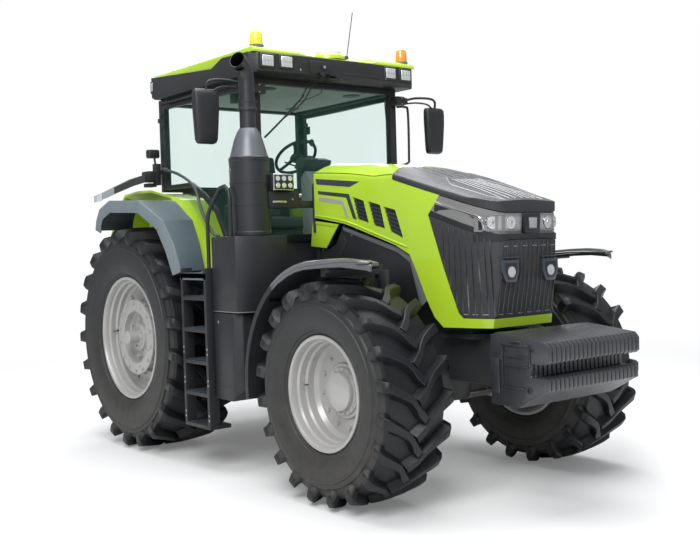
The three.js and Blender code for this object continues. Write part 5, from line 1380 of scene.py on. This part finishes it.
# work lamp with six optics beside the cowl, on its bracket box
def makeWorkLamp():
    bm = bmesh.new()
    front = 1.905
    addBox(bm, (1.8, -0.918, 2.096), (1.875, -0.629, 2.228), 0.01)
    addBox(bm, (1.874, -0.89, 2.14), (1.878, -0.76, 2.155), 0.001, index=3)
    addRound(bm, (1.874, -0.7, 2.165), (1.881, -0.7, 2.165), 0.01, sides=12, index=3)
    addBox(bm, (1.8, -0.66, 2.1), (1.83, -0.428, 2.16), 0.006)
    addRound(bm, (1.845, -0.8, 2.226), (1.845, -0.8, 2.262), 0.016, sides=14)
    addBox(bm, (1.825, -0.903, 2.23), (front, -0.701, 2.368), 0.022, segments=3)
    addBox(bm, (front - 0.012, -0.9, 2.234), (front + 0.006, -0.704, 2.364), 0.006, index=3, segments=3)
    addBox(bm, (front, -0.891, 2.243), (front + 0.008, -0.713, 2.355), 0.005)
    for i in range(3):
        for j in range(2):
            place = (front + 0.006, -0.86 + 0.058 * i, 2.273 + 0.054 * j)
            addRound(bm, place, (front + 0.011, place[1], place[2]), 0.023, 0.021, sides=20, index=3)
            addRound(bm, place, (front + 0.0125, place[1], place[2]), 0.018, 0.017, sides=20, index=2)
    addTube(bm, [(1.83, -0.76, 2.29), (1.79, -0.72, 2.3), (1.78, -0.64, 2.22), (1.8, -0.6, 2.13)], 0.007,
            sides=8)
    finishPiece("side_work_lamp", bm, [blackPlastic, clearLens, lampGlass, chrome], "chassis", "dark_plastic")


stackPaint = surface("stackPaint", (0.013, 0.0155, 0.019), 0.42, coat=0.3, coatRough=0.3)
soot = surface("soot", (0.004, 0.004, 0.004), 0.95, shade=0.3, grain=0.6, specular=0.05)
stackPale = surface("stackPale", (0.12, 0.132, 0.146), 0.38, metallic=0.3)
boxPlastic = surface("boxPlastic", (0.013, 0.0148, 0.0175), 0.46, grain=0.3)
extensionGrey = surface("extensionGrey", (0.078, 0.108, 0.122), 0.48, shade=0.1, coat=0.2)
# a paler copy of the flare's grey for its outward faces: painted highlight
extensionPaintedHighlight = surface("extensionPaintedHighlight", (0.15, 0.18, 0.2), 0.42, shade=0.1, coat=0.3)
# a light grey for the top and lip of the black front fender: painted highlight
frontFenderPaintedHighlight = surface("frontFenderPaintedHighlight", (0.1, 0.105, 0.11), 0.24, coat=0.6, coatRough=0.2)
wheelBodies = ["steer_knuckle_right", "steer_knuckle_left"]
chassisTwice = ["chassis", "chassis"]
bothSides(rearFender, "rear_fender_shell", chassisTwice, [lime], "lime_paint", replaces=["rear_fender"])
bothSides(fenderExtension, "fender_flare", chassisTwice, [extensionGrey, extensionPaintedHighlight], "grey_plastic",
          replaces=["fender_extension"], sharp=48)
bothSides(frontFender, "front_fender_shell", wheelBodies, [blackPlastic, frontFenderPaintedHighlight], "dark_plastic",
          replaces=["front_fender"])
bothSides(rearLamps, "rear_work_lamp", chassisTwice, [blackPlastic, lampGlass], "dark_plastic")
bothSides(tailLamps, "tail_lamp", chassisTwice, [blackPlastic, lampGlass, redGlass, amberGlass, clearLens],
          "dark_plastic")
makeStack()
makeEnclosure()
bothSides(sideTank, "tank_body", chassisTwice, [boxPlastic, blackPlastic, steel], "dark_plastic",
          replaces=["side_tank"])
makeLadders()
bothSides(mirror, "mirror_head", chassisTwice, [blackPlastic, mirrorGlass, steel], "dark_plastic",
          replaces=["mirror"])
makeWorkLamp()
print("fenders, stack, ladders and mirrors made")


# roof: cap, housing with its lamps, beacons and aerial
roofShape = {
    "rear": -0.157, "front": 1.622, "half": 0.8615, "notchHalf": 0.35,
    "notchX": 1.31, "notchZ": (3.4, 3.372), "seam": [(-0.157, 3.4055), (0.98, 3.3165), (1.16, 3.3785),
                                                     (1.622, 3.3625)],
    "top": [(-0.157, 3.43), (-0.12, 3.45), (-0.065, 3.478), (0.3, 3.48), (1.26, 3.452), (1.56, 3.421),
            (1.612, 3.398), (1.622, 3.38)],
    "crown": [(0, 3.4815), (0.3, 3.4815), (0.752, 3.44), (0.85, 3.415), (0.8615, 3.4)],
    "beacon": (1.54, 0.775), "dome": (1.475, 0.15, 3.474), "aerial": [(1.6, 0.1, 3.38), (1.7, 0.1, 3.762)],
    "frontLamps": [(1.637, 0.737, 3.293), (1.642, 0.556, 3.296)],
}


def makeRoofCap():
    r = roofShape
    xs = sorted({-0.157, -0.148, -0.12, -0.065, 0.1, 0.3, 0.65, 0.98, 1.16, 1.26, r["notchX"] - 0.02,
                 r["notchX"] + 0.02, 1.45, 1.56, 1.602, 1.615, 1.622})
    ys = [-0.8615, -0.858, -0.845, -0.8, -0.752, -0.6, -0.45, -0.405, -0.345, -0.2, -0.1]
    ys = ys + [0] + [-y for y in ys[::-1]]
    sections = []
    for y in ys:
        crown = along(r["crown"], abs(y))
        inset = 0.008 if abs(y) > 0.86 else 0
        tops = []
        for x in xs:
            z = min(along(r["top"], x), crown) - inset
            if abs(y) < r["notchHalf"] and x > r["notchX"]:
                z = along([(r["notchX"], r["notchZ"][0]), (1.622, r["notchZ"][1])], x)
            tops.append((x, y, max(z, along(r["seam"], x) + 0.004)))
        lows = [(x, y, along(r["seam"], x)) for x in (1.622, 1.16, 0.98, 0.4, -0.157)]
        sections.append(tops + lows)
    bm = bmesh.new()
    addLoft(bm, sections)
    soften(bm, bm.verts, 0.004, 2, 35)
    for i in range(5):
        y = -0.36 + 0.18 * i
        addTube(bm, [(0.0, y, 3.4795), (0.5, y, 3.474), (1.0, y, 3.459)], 0.0045, sides=6, steps=3)
    dx, dr, dz = r["dome"]
    addTurned(bm, [(0.0, 3.38), (dr + 0.004, 3.38), (dr, 3.408), (dr - 0.03, 3.434), (0.0, 3.438)],
              (dx, 0, 0), 48, 0, "Z")
    addTurned(bm, [(0.0, 3.43), (0.118, 3.431), (0.112, 3.446), (0.088, 3.46), (0.05, 3.47), (0.0, dz)],
              (dx, 0, 0), 40, 1, "Z")
    for ring, count in ((0.03, 7), (0.056, 13), (0.082, 19)):
        for a in evenTurns(count):
            z = along([(0, dz), (0.05, 3.47), (0.088, 3.46), (0.112, 3.446)], ring) - 0.0005
            addBolt(bm, (dx + ring * math.cos(a), ring * math.sin(a), z), (0, 0, 1), 0.0045, 0.002, 2)
    bx, by = r["beacon"]
    for side, lens in ((-1, 3), (1, 4)):
        y = side * by
        addTurned(bm, [(0.0, 3.375), (0.061, 3.376), (0.061, 3.424), (0.056, 3.43), (0.0, 3.43)], (bx, y, 0),
                  32, 2, "Z")
        addTurned(bm, [(0.0, 3.429), (0.053, 3.429), (0.054, 3.44), (0.05, 3.512), (0.044, 3.53),
                       (0.028, 3.541), (0.0, 3.5445)],
                  (bx, y, 0), 32, lens, "Z")
        for z in (3.452, 3.47, 3.488, 3.506):
            addTurned(bm, [(0.049, z - 0.004), (0.0548 - (z - 3.44) * 0.05, z), (0.049, z + 0.004)],
                      (bx, y, 0), 32, lens, "Z")
    low, high = r["aerial"]
    addRound(bm, (low[0], low[1], 3.386), (low[0] + 0.004, low[1], 3.412), 0.02, 0.012, sides=16, index=5)
    addTube(bm, [low, (1.64, 0.1, 3.53), high], 0.0035, sides=6, index=5)
    finishPiece("roof_cap_shell", bm, [lime, capGrey, greyPlastic, yellowGlass, amberGlass, blackPlastic],
                "chassis", "lime_paint", ["roof_cap"], outward=False)


def addLampSquare(bm, place, wide, tall, deep, turn=0.0):  # bezel, white face and its small ribs, facing +x
    part = bmesh.new()
    addBox(part, (-0.03, -wide - 0.016, -tall - 0.016), (deep, wide + 0.016, tall + 0.016), 0.012, segments=3)
    addBox(part, (0.0, -wide, -tall), (deep + 0.004, wide, tall), 0.012, index=1, segments=3)
    for i in range(1, 4):
        y = -wide + 2 * wide * i / 4
        addBox(part, (0.0, y - 0.0018, -tall + 0.006), (deep + 0.0055, y + 0.0018, tall - 0.006), index=2)
    addBox(part, (0.0, -wide + 0.006, -0.0018), (deep + 0.0055, wide - 0.006, 0.0018), index=2)
    bmesh.ops.rotate(part, verts=part.verts, cent=(0, 0, 0), matrix=Matrix.Rotation(turn, 3, "Z"))
    bmesh.ops.translate(part, verts=part.verts, vec=place)
    addInto(bm, part)


def makeRoofHousing():
    bm = softNode("roof_housing", 0.01, 20, 3)
    for side in (-1, 1):
        for x, y, z in roofShape["frontLamps"]:
            addLampSquare(bm, (x - 0.004, side * y, z), 0.056, 0.044, 0.012)
        addLampSquare(bm, (-0.176, side * 0.7, 3.325), 0.048, 0.038, 0.01, math.pi)
        # lamp in the rear corner and the bar below the edge
        addLampSquare(bm, (-0.125, side * 0.862, 3.318), 0.04, 0.042, 0.01, math.pi - side * 1.35)
        addTube(bm, [(0.02, side * 0.848, 3.186), (0.1, side * 0.85, 3.15), (0.55, side * 0.85, 3.15),
                     (0.62, side * 0.848, 3.186)], 0.01, sides=8)
    addBox(bm, (1.64, -0.33, 3.225), (1.662, -0.12, 3.33), 0.012)
    addBox(bm, (1.655, -0.215, 3.262), (1.672, -0.165, 3.3), 0.008)
    addRound(bm, (1.668, -0.19, 3.281), (1.6745, -0.19, 3.281), 0.012, sides=16, index=3)
    addBox(bm, (1.642, 0.02, 3.235), (1.652, 0.42, 3.258), 0.004)
    for y in (-0.42, 0.5):
        addBolt(bm, (1.645, y, 3.245), (1, 0, 0), 0.01, 0.004, 3)
    # liner and speakers inside, below the housing
    addBox(bm, (0.02, -0.67, 3.152), (1.38, 0.67, 3.19), 0.014, index=4)
    for side in (-1, 1):
        addRound(bm, (1.2, side * 0.46, 3.155), (1.2, side * 0.46, 3.144), 0.085, 0.08, sides=32, index=5,
                 bevel=0.003)
        addRound(bm, (0.25, side * 0.46, 3.155), (0.25, side * 0.46, 3.146), 0.07, 0.066, sides=28, index=5,
                 bevel=0.003)
    finishPiece("roof_body", bm, [blackPlastic, lampGlass, decalGrey, chrome, linerCloth, darkPlastic],
                "chassis", "dark_plastic", ["roof_housing"])


# cab frame with its seals, wiper and rails
def makeCab():
    bm = softNode("cab_frame", 0.006, 30)
    for side in (-1, 1):
        addTube(bm, [(1.55, side * 0.736, 3.128), (1.6, side * 0.736, 2.5), (1.6, side * 0.736, 1.92)], 0.004,
                sides=6, index=1)
    addBox(bm, (-0.05, -0.715, 1.601), (1.56, 0.715, 1.61), index=2)
    taperCab(bm)
    finishPiece("cab_body", bm, [blackPlastic, sealRubber, trimGrey], "chassis", "dark_plastic",
                ["cab_frame"])

    bm = bmesh.new()
    pivot, knee, blade = (1.668, -0.215, 3.215), (1.672, -0.345, 3.02), (1.658, -0.7, 2.69)
    addRound(bm, (1.645, pivot[1], pivot[2]), (1.684, pivot[1], pivot[2]), 0.022, 0.018, sides=20,
             bevel=0.002)
    for dy, dz in ((0.0, 0.0), (0.035, -0.012)):
        addTube(bm, [(pivot[0], pivot[1] + dy, pivot[2] + dz), (knee[0], knee[1] + dy, knee[2] + dz),
                     (1.668, -0.5, 2.865)], 0.0055, sides=8, steps=3)
    addTube(bm, [(1.668, -0.3, 3.06), (1.6655, -0.5, 2.868), blade], 0.0065, sides=6, steps=3)
    addTube(bm, [(1.661, -0.296, 3.064), (1.659, -0.5, 2.872), (1.652, -0.702, 2.694)], 0.005, sides=6,
            steps=3, index=1)
    addTube(bm, [(1.668, -0.215, 3.205), (1.668, -0.06, 3.19), (1.668, 0.1, 3.225)], 0.003, sides=6, index=1)
    addTube(bm, [(1.668, -0.225, 3.195), (1.674, -0.12, 3.1), (1.668, -0.36, 3.0)], 0.003, sides=6, index=1)
    bmesh.ops.translate(bm, verts=[v for v in bm.verts if v.co.z < 3.19], vec=(-0.15, 0, 0))
    finishPiece("wiper", bm, [blackPlastic, sealRubber], "chassis", "dark_plastic")

    bm = bmesh.new()
    addTube(bm, [(1.47, 0.775, 3.035), (1.47, 0.87, 3.04), (1.47, 0.905, 2.99), (1.47, 0.905, 2.6),
                 (1.47, 0.89, 2.53), (1.47, 0.775, 2.5)], 0.011, steps=5)
    finishPiece("left_grab_handle", bm, [blackPlastic], "chassis", "dark_plastic")

    bm = bmesh.new()
    addBox(bm, (0.88, -0.64, 3.05), (0.98, -0.48, 3.14), 0.01)
    finishPiece("monitor_bracket", bm, [blackPlastic], "chassis", "dark_plastic")


def doorDetail(bm):
    addInto(bm, softNode("door_right", 0.004, 30))
    # pull rail outside, low on the door, latch and hinge covers
    addTube(bm, [(0.02, -0.815, 2.545), (0.02, -0.858, 2.54), (0.306, -0.86, 2.478), (0.609, -0.86, 2.341),
                 (0.734, -0.86, 2.115), (0.891, -0.86, 1.93), (0.93, -0.812, 1.9)], 0.014, sides=12, index=1,
            steps=5)
    addBox(bm, (1.38, -0.832, 2.02), (1.47, -0.812, 2.12), 0.008)
    addBox(bm, (1.395, -0.838, 2.052), (1.455, -0.828, 2.086), 0.004, index=1)
    for z in (2.5, 2.98):
        addBox(bm, (-0.036, -0.838, z - 0.04), (0.03, -0.812, z + 0.04), 0.008)
    addBox(bm, (1.3, -0.783, 2.0), (1.46, -0.76, 2.14), 0.01)
    taperCab(bm)


# seat with stuffed cushions
seatShape = {
    "x": 0.27, "depth": 0.52, "half": 0.258, "low": 1.962, "top": 2.078, "crown": 0.016, "backTop": 2.668,
    "fill": 0.6, "seam": 0.006, "seamHalf": 0.012, "lean": -0.155,
}


def cushion(low, high, seamAt, crownAxis, lean=None):  # crowned on one face, with its seams drawn in
    bm = bmesh.new()
    size = [h - l for l, h in zip(low, high)]
    bmesh.ops.create_cube(bm, size=1)
    bmesh.ops.scale(bm, verts=bm.verts, vec=size)
    bmesh.ops.translate(bm, verts=bm.verts, vec=[(l + h) / 2 for l, h in zip(low, high)])
    bmesh.ops.bevel(bm, geom=bm.edges[:], offset=min(size) * 0.32, offset_type="OFFSET", affect="EDGES",
                    segments=4, profile=0.5, material=-1)
    middle = Vector([(l + h) / 2 for l, h in zip(low, high)])
    for cut in seamAt:
        bmesh.ops.bisect_plane(bm, geom=everyPart(bm), plane_co=cut[0], plane_no=cut[1], dist=1e-5)
    bmesh.ops.subdivide_edges(bm, edges=[e for e in bm.edges if e.calc_length() > 0.05], cuts=6,
                              use_grid_fill=True)
    for vert in bm.verts:
        offset = vert.co - middle
        reach = [abs(offset[i]) / (size[i] / 2) for i in range(3)]
        others = [reach[i] for i in range(3) if i != crownAxis]
        swell = (1 - min(1, others[0]) ** 2) * (1 - min(1, others[1]) ** 2)
        near = min([abs((vert.co - Vector(c[0])).dot(Vector(c[1]).normalized())) for c in seamAt] or [1])
        dent = math.exp(-(near / seatShape["seamHalf"]) ** 2) * seatShape["seam"]
        if offset[crownAxis] > 0:
            vert.co[crownAxis] += swell * seatShape["crown"] - dent
    if lean:
        bmesh.ops.rotate(bm, verts=bm.verts, cent=lean[0], matrix=Matrix.Rotation(lean[1], 3, "Y"))
    return bm


def makeSeat():
    s = seatShape
    x, half = s["x"], s["half"]
    bm = bmesh.new()
    addBox(bm, (x + 0.05, -0.17, 1.606), (x + 0.42, 0.17, 1.66), 0.012)
    for i in range(5):  # bellows of the suspension, narrower towards the top
        near, low = 0.004 * i, 1.664 + 0.044 * i
        addBox(bm, (x + 0.075 + near, -0.15 + near, low), (x + 0.395 - near, 0.15 - near, low + 0.036), 0.012,
               index=1)
    addBox(bm, (x + 0.02, -0.215, 1.888), (x + 0.46, 0.215, 1.958), 0.014)
    addPrism(bm, [(x - 0.06, 2.02), (x - 0.02, 2.03), (x - 0.112, 2.64), (x - 0.146, 2.63)], -0.2, 0.2,
             bevel=0.01)
    for side in (-1, 1):
        addBox(bm, (x + 0.02, side * 0.3 - 0.032, 2.215), (x + 0.36, side * 0.3 + 0.032, 2.262), 0.018,
               index=2, segments=3)
        addBox(bm, (x - 0.03, side * 0.285 - 0.014, 2.18), (x + 0.05, side * 0.285 + 0.014, 2.225), 0.006)
    addBox(bm, (x + 0.1, -0.44, 1.605), (x + 0.64, -0.34, 2.16), 0.02)
    addBox(bm, (x + 0.12, -0.438, 2.155), (x + 0.62, -0.342, 2.19), 0.012, index=2)
    addTube(bm, [(x + 0.5, -0.39, 2.18), (x + 0.51, -0.39, 2.27), (x + 0.52, -0.39, 2.3)], 0.01, sides=8)
    addRound(bm, (x + 0.52, -0.39, 2.29), (x + 0.525, -0.39, 2.345), 0.024, 0.02, sides=16, bevel=0.004)
    for i, index in ((0, 3), (1, 4), (2, 3)):
        addTube(bm, [(x + 0.28 + 0.06 * i, -0.39, 2.18), (x + 0.285 + 0.06 * i, -0.39, 2.235)], 0.005,
                sides=6, steps=1)
        addBox(bm, (x + 0.27 + 0.06 * i, -0.402, 2.225), (x + 0.3 + 0.06 * i, -0.378, 2.25), 0.004,
               index=index)
    finishPiece("seat_frame", bm, [darkPlastic, sealRubber, blackPlastic, amberGlass, steel], "chassis",
                "seat_fabric", ["seat"])
    seams = [((0, 0.15, 0), (0, 1, 0)), ((0, -0.15, 0), (0, 1, 0)), ((x + 0.17, 0, 0), (1, 0, 0)),
             ((x + 0.36, 0, 0), (1, 0, 0))]
    low = (x, -half, s["low"])
    bm = cushion(low, (x + s["depth"] - 0.01, half, s["top"] - s["crown"]), seams, 2)
    piece = finishPiece("seat_cushion", bm, [seatCloth], "chassis", "seat_fabric", sharp=80)
    seams = [((0, 0.15, 0), (0, 1, 0)), ((0, -0.15, 0), (0, 1, 0)), ((0, 0, 2.25), (0, 0, 1)),
             ((0, 0, 2.43), (0, 0, 1))]
    low = (x - 0.03, -half + 0.012, s["top"] + 0.004)
    high = (x + 0.07 - s["crown"], half - 0.012, s["backTop"])
    bm = cushion(low, high, seams, 0, ((x, 0, s["top"]), s["lean"]))
    piece = finishPiece("seat_back", bm, [seatCloth], "chassis", "seat_fabric", sharp=80)


# steering wheel, its column and the console in front of it
helmShape = {"hub": (0.945, 0, 2.6), "ring": 0.195, "tube": 0.0145, "tilt": math.radians(42)}


def makeHelm():
    h = helmShape
    hub = Vector(h["hub"])
    bm = bmesh.new()
    ring = h["ring"]
    profile = [(ring + h["tube"] * math.cos(i * math.tau / 10),
                h["tube"] * math.sin(i * math.tau / 10)) for i in range(11)]
    addTurned(bm, profile, (0, 0, 0), 56, 0, "Z")
    addTurned(bm, [(0, -0.03), (0.045, -0.03), (0.06, -0.006), (0.058, 0.004), (0.04, 0.012), (0, 0.014)],
              (0, 0, 0), 32, 0, "Z")
    for turn in (90, 210, 330):
        a = math.radians(turn)
        out = Vector((math.cos(a), math.sin(a), 0))
        side = Vector((-math.sin(a), math.cos(a), 0))
        corners = ((1, 0.005), (-1, 0.005), (-1, -0.005), (1, -0.005))
        spoke = [(0.045, 0.02, 0), (0.11, 0.014, -0.004), (ring - 0.004, 0.017, 0)]
        addLoft(bm, [[out * r + side * wide * way + Vector((0, 0, z + up)) for way, up in corners]
                     for r, wide, z in spoke])
    addRound(bm, (0.145, 0.118, 0.01), (0.15, 0.122, 0.06), 0.022, 0.026, sides=20, bevel=0.005)
    bmesh.ops.rotate(bm, verts=bm.verts, cent=(0, 0, 0), matrix=Matrix.Rotation(-h["tilt"], 3, "Y"))
    bmesh.ops.translate(bm, verts=bm.verts, vec=hub)
    shaft = Vector((math.sin(h["tilt"]), 0, -math.cos(h["tilt"])))
    addRound(bm, hub - shaft * -0.02, hub + shaft * 0.16, 0.026, 0.034, sides=20, index=1)
    addRound(bm, hub + shaft * 0.1, hub + shaft * 0.3, 0.052, 0.07, sides=28, index=1, bevel=0.006)
    for side in (-1, 1):
        addTube(bm, [hub + shaft * 0.14, hub + shaft * 0.12 + Vector((0, side * 0.1, 0.01)),
                     hub + shaft * 0.1 + Vector((0, side * 0.17, 0.02))],
                0.007, sides=8)
    base = hub + shaft * 0.22
    fromBase = lambda *pairs: [(base.x + u, base.z + v) for u, v in pairs]
    addPrism(bm, [(1.19, 1.606), (1.418, 1.606), (1.4, 2.25), *fromBase((0.13, 0.03), (0.06, -0.05)),
                  (1.16, 2.12)],
             -0.11, 0.11, bevel=0.018, index=2)
    addPrism(bm, fromBase((0.02, 0.045), (0.15, 0.015), (0.2, 0.11), (0.09, 0.14)),
             -0.15, 0.15, bevel=0.014, index=1)
    addPrism(bm, fromBase((0.022, 0.052), (0.017, 0.05), (0.082, 0.132), (0.088, 0.134)),
             -0.125, 0.125, index=3)
    for y in (-0.19, 0.13, 0.2):
        addBox(bm, (1.285, y - 0.035, 1.7), (1.3, y + 0.035, 1.8), 0.006, index=1)
        addTube(bm, [(1.3, y, 1.75), (1.4, y, 1.78), (1.45, y, 1.9)], 0.01, sides=8, index=1)
    finishPiece("steering_wheel", bm, [blackPlastic, darkPlastic, trimGrey, decalDark], "chassis",
                "dark_plastic", ["steering_column"], outward=False)


capGrey = surface("capGrey", (0.42, 0.43, 0.42), 0.5, shade=0.08)
linerCloth = surface("linerCloth", (0.34, 0.36, 0.36), 0.9, shade=0.1, grain=0.6)
seatCloth = surface("seatCloth", (0.05, 0.052, 0.056), 0.85, shade=0.18, grain=0.9, grainScale=520)


def makePane(node, body):
    bm = copyNode(node)
    taperCab(bm)
    finishPiece(node + "_pane", bm, [tinted], body, "tinted_glass", [node])


makeRoofCap()
makeRoofHousing()
makePane("windscreen", "chassis")
makePane("door_glass_right", "right_door")
makePane("door_glass_left", "left_door")
makeCab()
bothSides(doorDetail, "door_frame", ["right_door", "left_door"], [blackPlastic, sheetPaint], "dark_plastic",
          replaces=["door"])
makeSeat()
makeHelm()
print("roof, cab and seat made")


# chassis: softened castings with their bolts, pipes and fittings
def plainBody(node, width, body, slot, materials, detail=None, angle=30):
    bm = softNode(node, width, angle)
    if detail:
        detail(bm, *nodeBox(node))
    finishPiece(node + "_body", bm, materials, body, slot, [node], outward=False)


def boltRow(bm, start, end, count, heading, radius, index=1):
    start, end = Vector(start), Vector(end)
    for i in range(count):
        addBolt(bm, start.lerp(end, i / max(1, count - 1)), heading, radius, radius * 0.7, index)


def engineDetail(bm, low, high):
    for side in (-1, 1):
        for i in range(6):
            x = low.x + 0.1 + 0.17 * i
            addBox(bm, (x, side * 0.298, 1.35), (x + 0.022, side * 0.312, 1.72), 0.003)
            addTube(bm, [(x + 0.03, side * 0.245, 2.02), (x + 0.03, side * 0.305, 1.96),
                         (x + 0.03, side * 0.318, 1.86)], 0.009, sides=8, index=1)
        boltRow(bm, (low.x + 0.08, side * 0.306, 1.78), (high.x - 0.12, side * 0.306, 1.78), 12, (0, side, 0),
                0.01)
        addTube(bm, [(low.x + 0.12, side * 0.322, 1.86), (low.x + 0.6, side * 0.326, 1.865),
                     (high.x - 0.14, side * 0.322, 1.86)], 0.019,
                sides=12, index=1)
    for i, x in enumerate((2.25, 2.42)):
        addRound(bm, (x, 0.325, 1.42), (x, 0.325, 1.62), 0.046, sides=28, index=2, bevel=0.004)
    addRound(bm, (2.72, -0.312, 1.5), (2.92, -0.312, 1.5), 0.052, sides=28, index=1, bevel=0.006)
    addBox(bm, (low.x + 0.06, -0.16, high.z - 0.01), (high.x - 0.14, 0.16, high.z + 0.03), 0.014)
    for side in (-1, 1):
        boltRow(bm, (low.x + 0.1, side * 0.135, high.z + 0.03), (high.x - 0.18, side * 0.135, high.z + 0.03),
                8, (0, 0, 1), 0.009)
    addRound(bm, (2.35, 0, high.z + 0.028), (2.35, 0, high.z + 0.048), 0.04, index=2, bevel=0.004)


def coolerDetail(bm, low, high):
    for x, side in ((low.x, -1), (high.x, 1)):
        for i in range(34):
            y = low.y + 0.035 + (high.y - low.y - 0.07) * i / 33
            addBox(bm, (x + side * 0.0005 - 0.0015, y - 0.002, low.z + 0.05),
                   (x + side * 0.0045 + 0.0005, y + 0.002, high.z - 0.05), index=1)
        for z in (low.z + 0.035, high.z - 0.045):
            addBox(bm, (x, low.y + 0.012, z - 0.014), (x + side * 0.008, high.y - 0.012, z + 0.014), 0.003)


def gearboxDetail(bm, low, high):
    for side in (-1, 1):
        for x in (0.3, 0.9, 1.45):
            boltRow(bm, (x, side * 0.2255, 0.76), (x, side * 0.2255, 1.24), 7, (0, side, 0), 0.012)
            addBox(bm, (x - 0.03, side * 0.222, 0.72), (x - 0.012, side * 0.24, 1.27), 0.003)
        for i in range(5):
            x = 0.4 + 0.1 * i
            addBox(bm, (x, side * 0.222, 0.84), (x + 0.014, side * 0.236, 1.18), 0.003)
        addTube(bm, [(1.7, side * 0.26, 1.22), (1.2, side * 0.27, 1.2), (0.75, side * 0.265, 1.26),
                     (0.3, side * 0.262, 1.24)], 0.012,
                sides=10, index=1)
        addTube(bm, [(1.7, side * 0.262, 1.12), (1.25, side * 0.275, 1.09), (0.8, side * 0.268, 1.14),
                     (0.34, side * 0.262, 1.12)], 0.009,
                sides=10, index=2)
        addBoltRing(bm, (0, side * 0.62, 1.005), 0.15, 14, 0.011, 0.008, 1, 6, 0.1)
        addTurned(bm, [(0.1, side * 0.605), (0.172, side * 0.606), (0.172, side * 0.626),
                       (0.1, side * 0.627)], (0, 0, 1.005), 40)
    x = low.x
    addRound(bm, (x + 0.01, 0, 0.86), (x - 0.006, 0, 0.86), 0.105, 0.1, sides=40, bevel=0.003)
    for a in evenTurns(8):
        addBolt(bm, (x - 0.006, 0.082 * math.cos(a), 0.86 + 0.082 * math.sin(a)), (-1, 0, 0), 0.01, 0.006, 1)
    addRound(bm, (x, 0, 0.86), (x - 0.11, 0, 0.86), 0.0175, 0.017, index=1, bevel=0.002)
    for a in evenTurns(12):
        addRound(bm, (x - 0.03, 0.0165 * math.cos(a), 0.86 + 0.0165 * math.sin(a)),
                 (x - 0.104, 0.0165 * math.cos(a), 0.86 + 0.0165 * math.sin(a)),
                 0.0028, sides=6, index=1)


def hitchDetail(bm, low, high):
    x = -0.362
    for row in range(2):
        for i in range(4):
            y, z = -0.165 + 0.11 * i, 1.235 + 0.085 * row
            addRound(bm, (x - 0.004, y, z), (x - 0.05, y, z), 0.026, 0.024, index=1, bevel=0.003)
            addRound(bm, (x - 0.048, y, z), (x - 0.06, y, z), 0.029, 0.027, sides=20,
                     index=3 if (i + row) % 2 else 2, bevel=0.004)
    addBox(bm, (x - 0.008, -0.215, 1.19), (x + 0.004, 0.215, 1.365), 0.004)
    boltRow(bm, (x - 0.008, -0.2, 1.2), (x - 0.008, 0.2, 1.2), 4, (-1, 0, 0), 0.01)
    for side in (-1, 1):
        boltRow(bm, (x - 0.004, side * 0.255, 0.74), (x - 0.004, side * 0.255, 1.4), 6, (-1, 0, 0), 0.013)


def axleDetail(bm, low, high):
    for side in (-1, 1):
        addBoltRing(bm, (wheelBase, side * 0.215, 0.785), 0.105, 10, 0.01, 0.007, 1, 6, 0.2)
        addTube(bm, [(wheelBase - 0.06, side * 0.12, 0.9), (wheelBase - 0.09, side * 0.3, 0.93),
                     (wheelBase - 0.1, side * 0.48, 0.9)], 0.009,
                sides=8, index=2)
    addRound(bm, (wheelBase - 0.16, 0, 0.785), (wheelBase - 0.11, 0, 0.785), 0.09, 0.105, sides=32,
             bevel=0.006)


def armDetail(bm, low, high):
    middle = (low + high) / 2
    for y in (low.y + 0.004, high.y - 0.004):
        side = -1 if y < middle.y else 1
        addRound(bm, (-0.36, y, 1.44), (-0.36, y + side * 0.002, 1.44), 0.045, 0.042, index=1)


def makeChassis():
    iron = [castPaint, steel, sealRubber, amberGlass]
    dark = [chassisPaint, steel, sealRubber, redGlass]
    plainBody("engine_block", 0.008, "chassis", "cast_iron", iron, engineDetail)
    plainBody("cooling_pack", 0.005, "chassis", "dark_plastic", [blackPlastic, steel], coolerDetail)
    plainBody("gearbox_and_rear_axle", 0.008, "chassis", "cast_iron", iron, gearboxDetail)
    plainBody("front_frame", 0.006, "chassis", "chassis_paint", dark)
    plainBody("front_axle_beam", 0.008, "chassis", "cast_iron", iron, axleDetail)
    plainBody("hitch_frame", 0.005, "chassis", "chassis_paint", dark, hitchDetail)
    plainBody("cowl", 0.005, "chassis", "dark_plastic", [blackPlastic])
    plainBody("cab_floor", 0.006, "chassis", "dark_plastic", [blackPlastic])
    plainBody("rockshaft_arms", 0.004, "rockshaft", "cast_iron", iron, armDetail)
    plainBody("lower_links", 0.005, "links", "chassis_paint", dark)
    plainBody("steering_rod", 0.004, "tie_rod", "chassis_paint", [steel, chassisPaint])
    for side in ("right", "left"):
        plainBody("lift_rod_" + side, 0.004, "lift_rods", "chassis_paint", dark)
        plainBody("knuckle_" + side, 0.006, "steer_knuckle_" + side, "cast_iron", iron)


makeChassis()
print("chassis made")


# every CAD node that still shows takes its slot's finish: the rear window and the quarter panes
slotFinish = {
    "lime_paint": lime, "dark_plastic": darkPlastic, "grey_plastic": greyPlastic,
    "chassis_paint": chassisPaint, "cast_iron": castPaint, "rim_paint": rimPaint, "tyre_rubber": rubber,
    "silver_paint": silver, "tinted_glass": tinted, "seat_fabric": trimGrey,
}
nodeSlots = {part["node"]: part["material_slot"] for part in frame["record"]["subparts"]}
for nodeName, node in frame["nodes"].items():
    node.data.materials.clear()
    node.data.materials.append(slotFinish[nodeSlots[nodeName]])
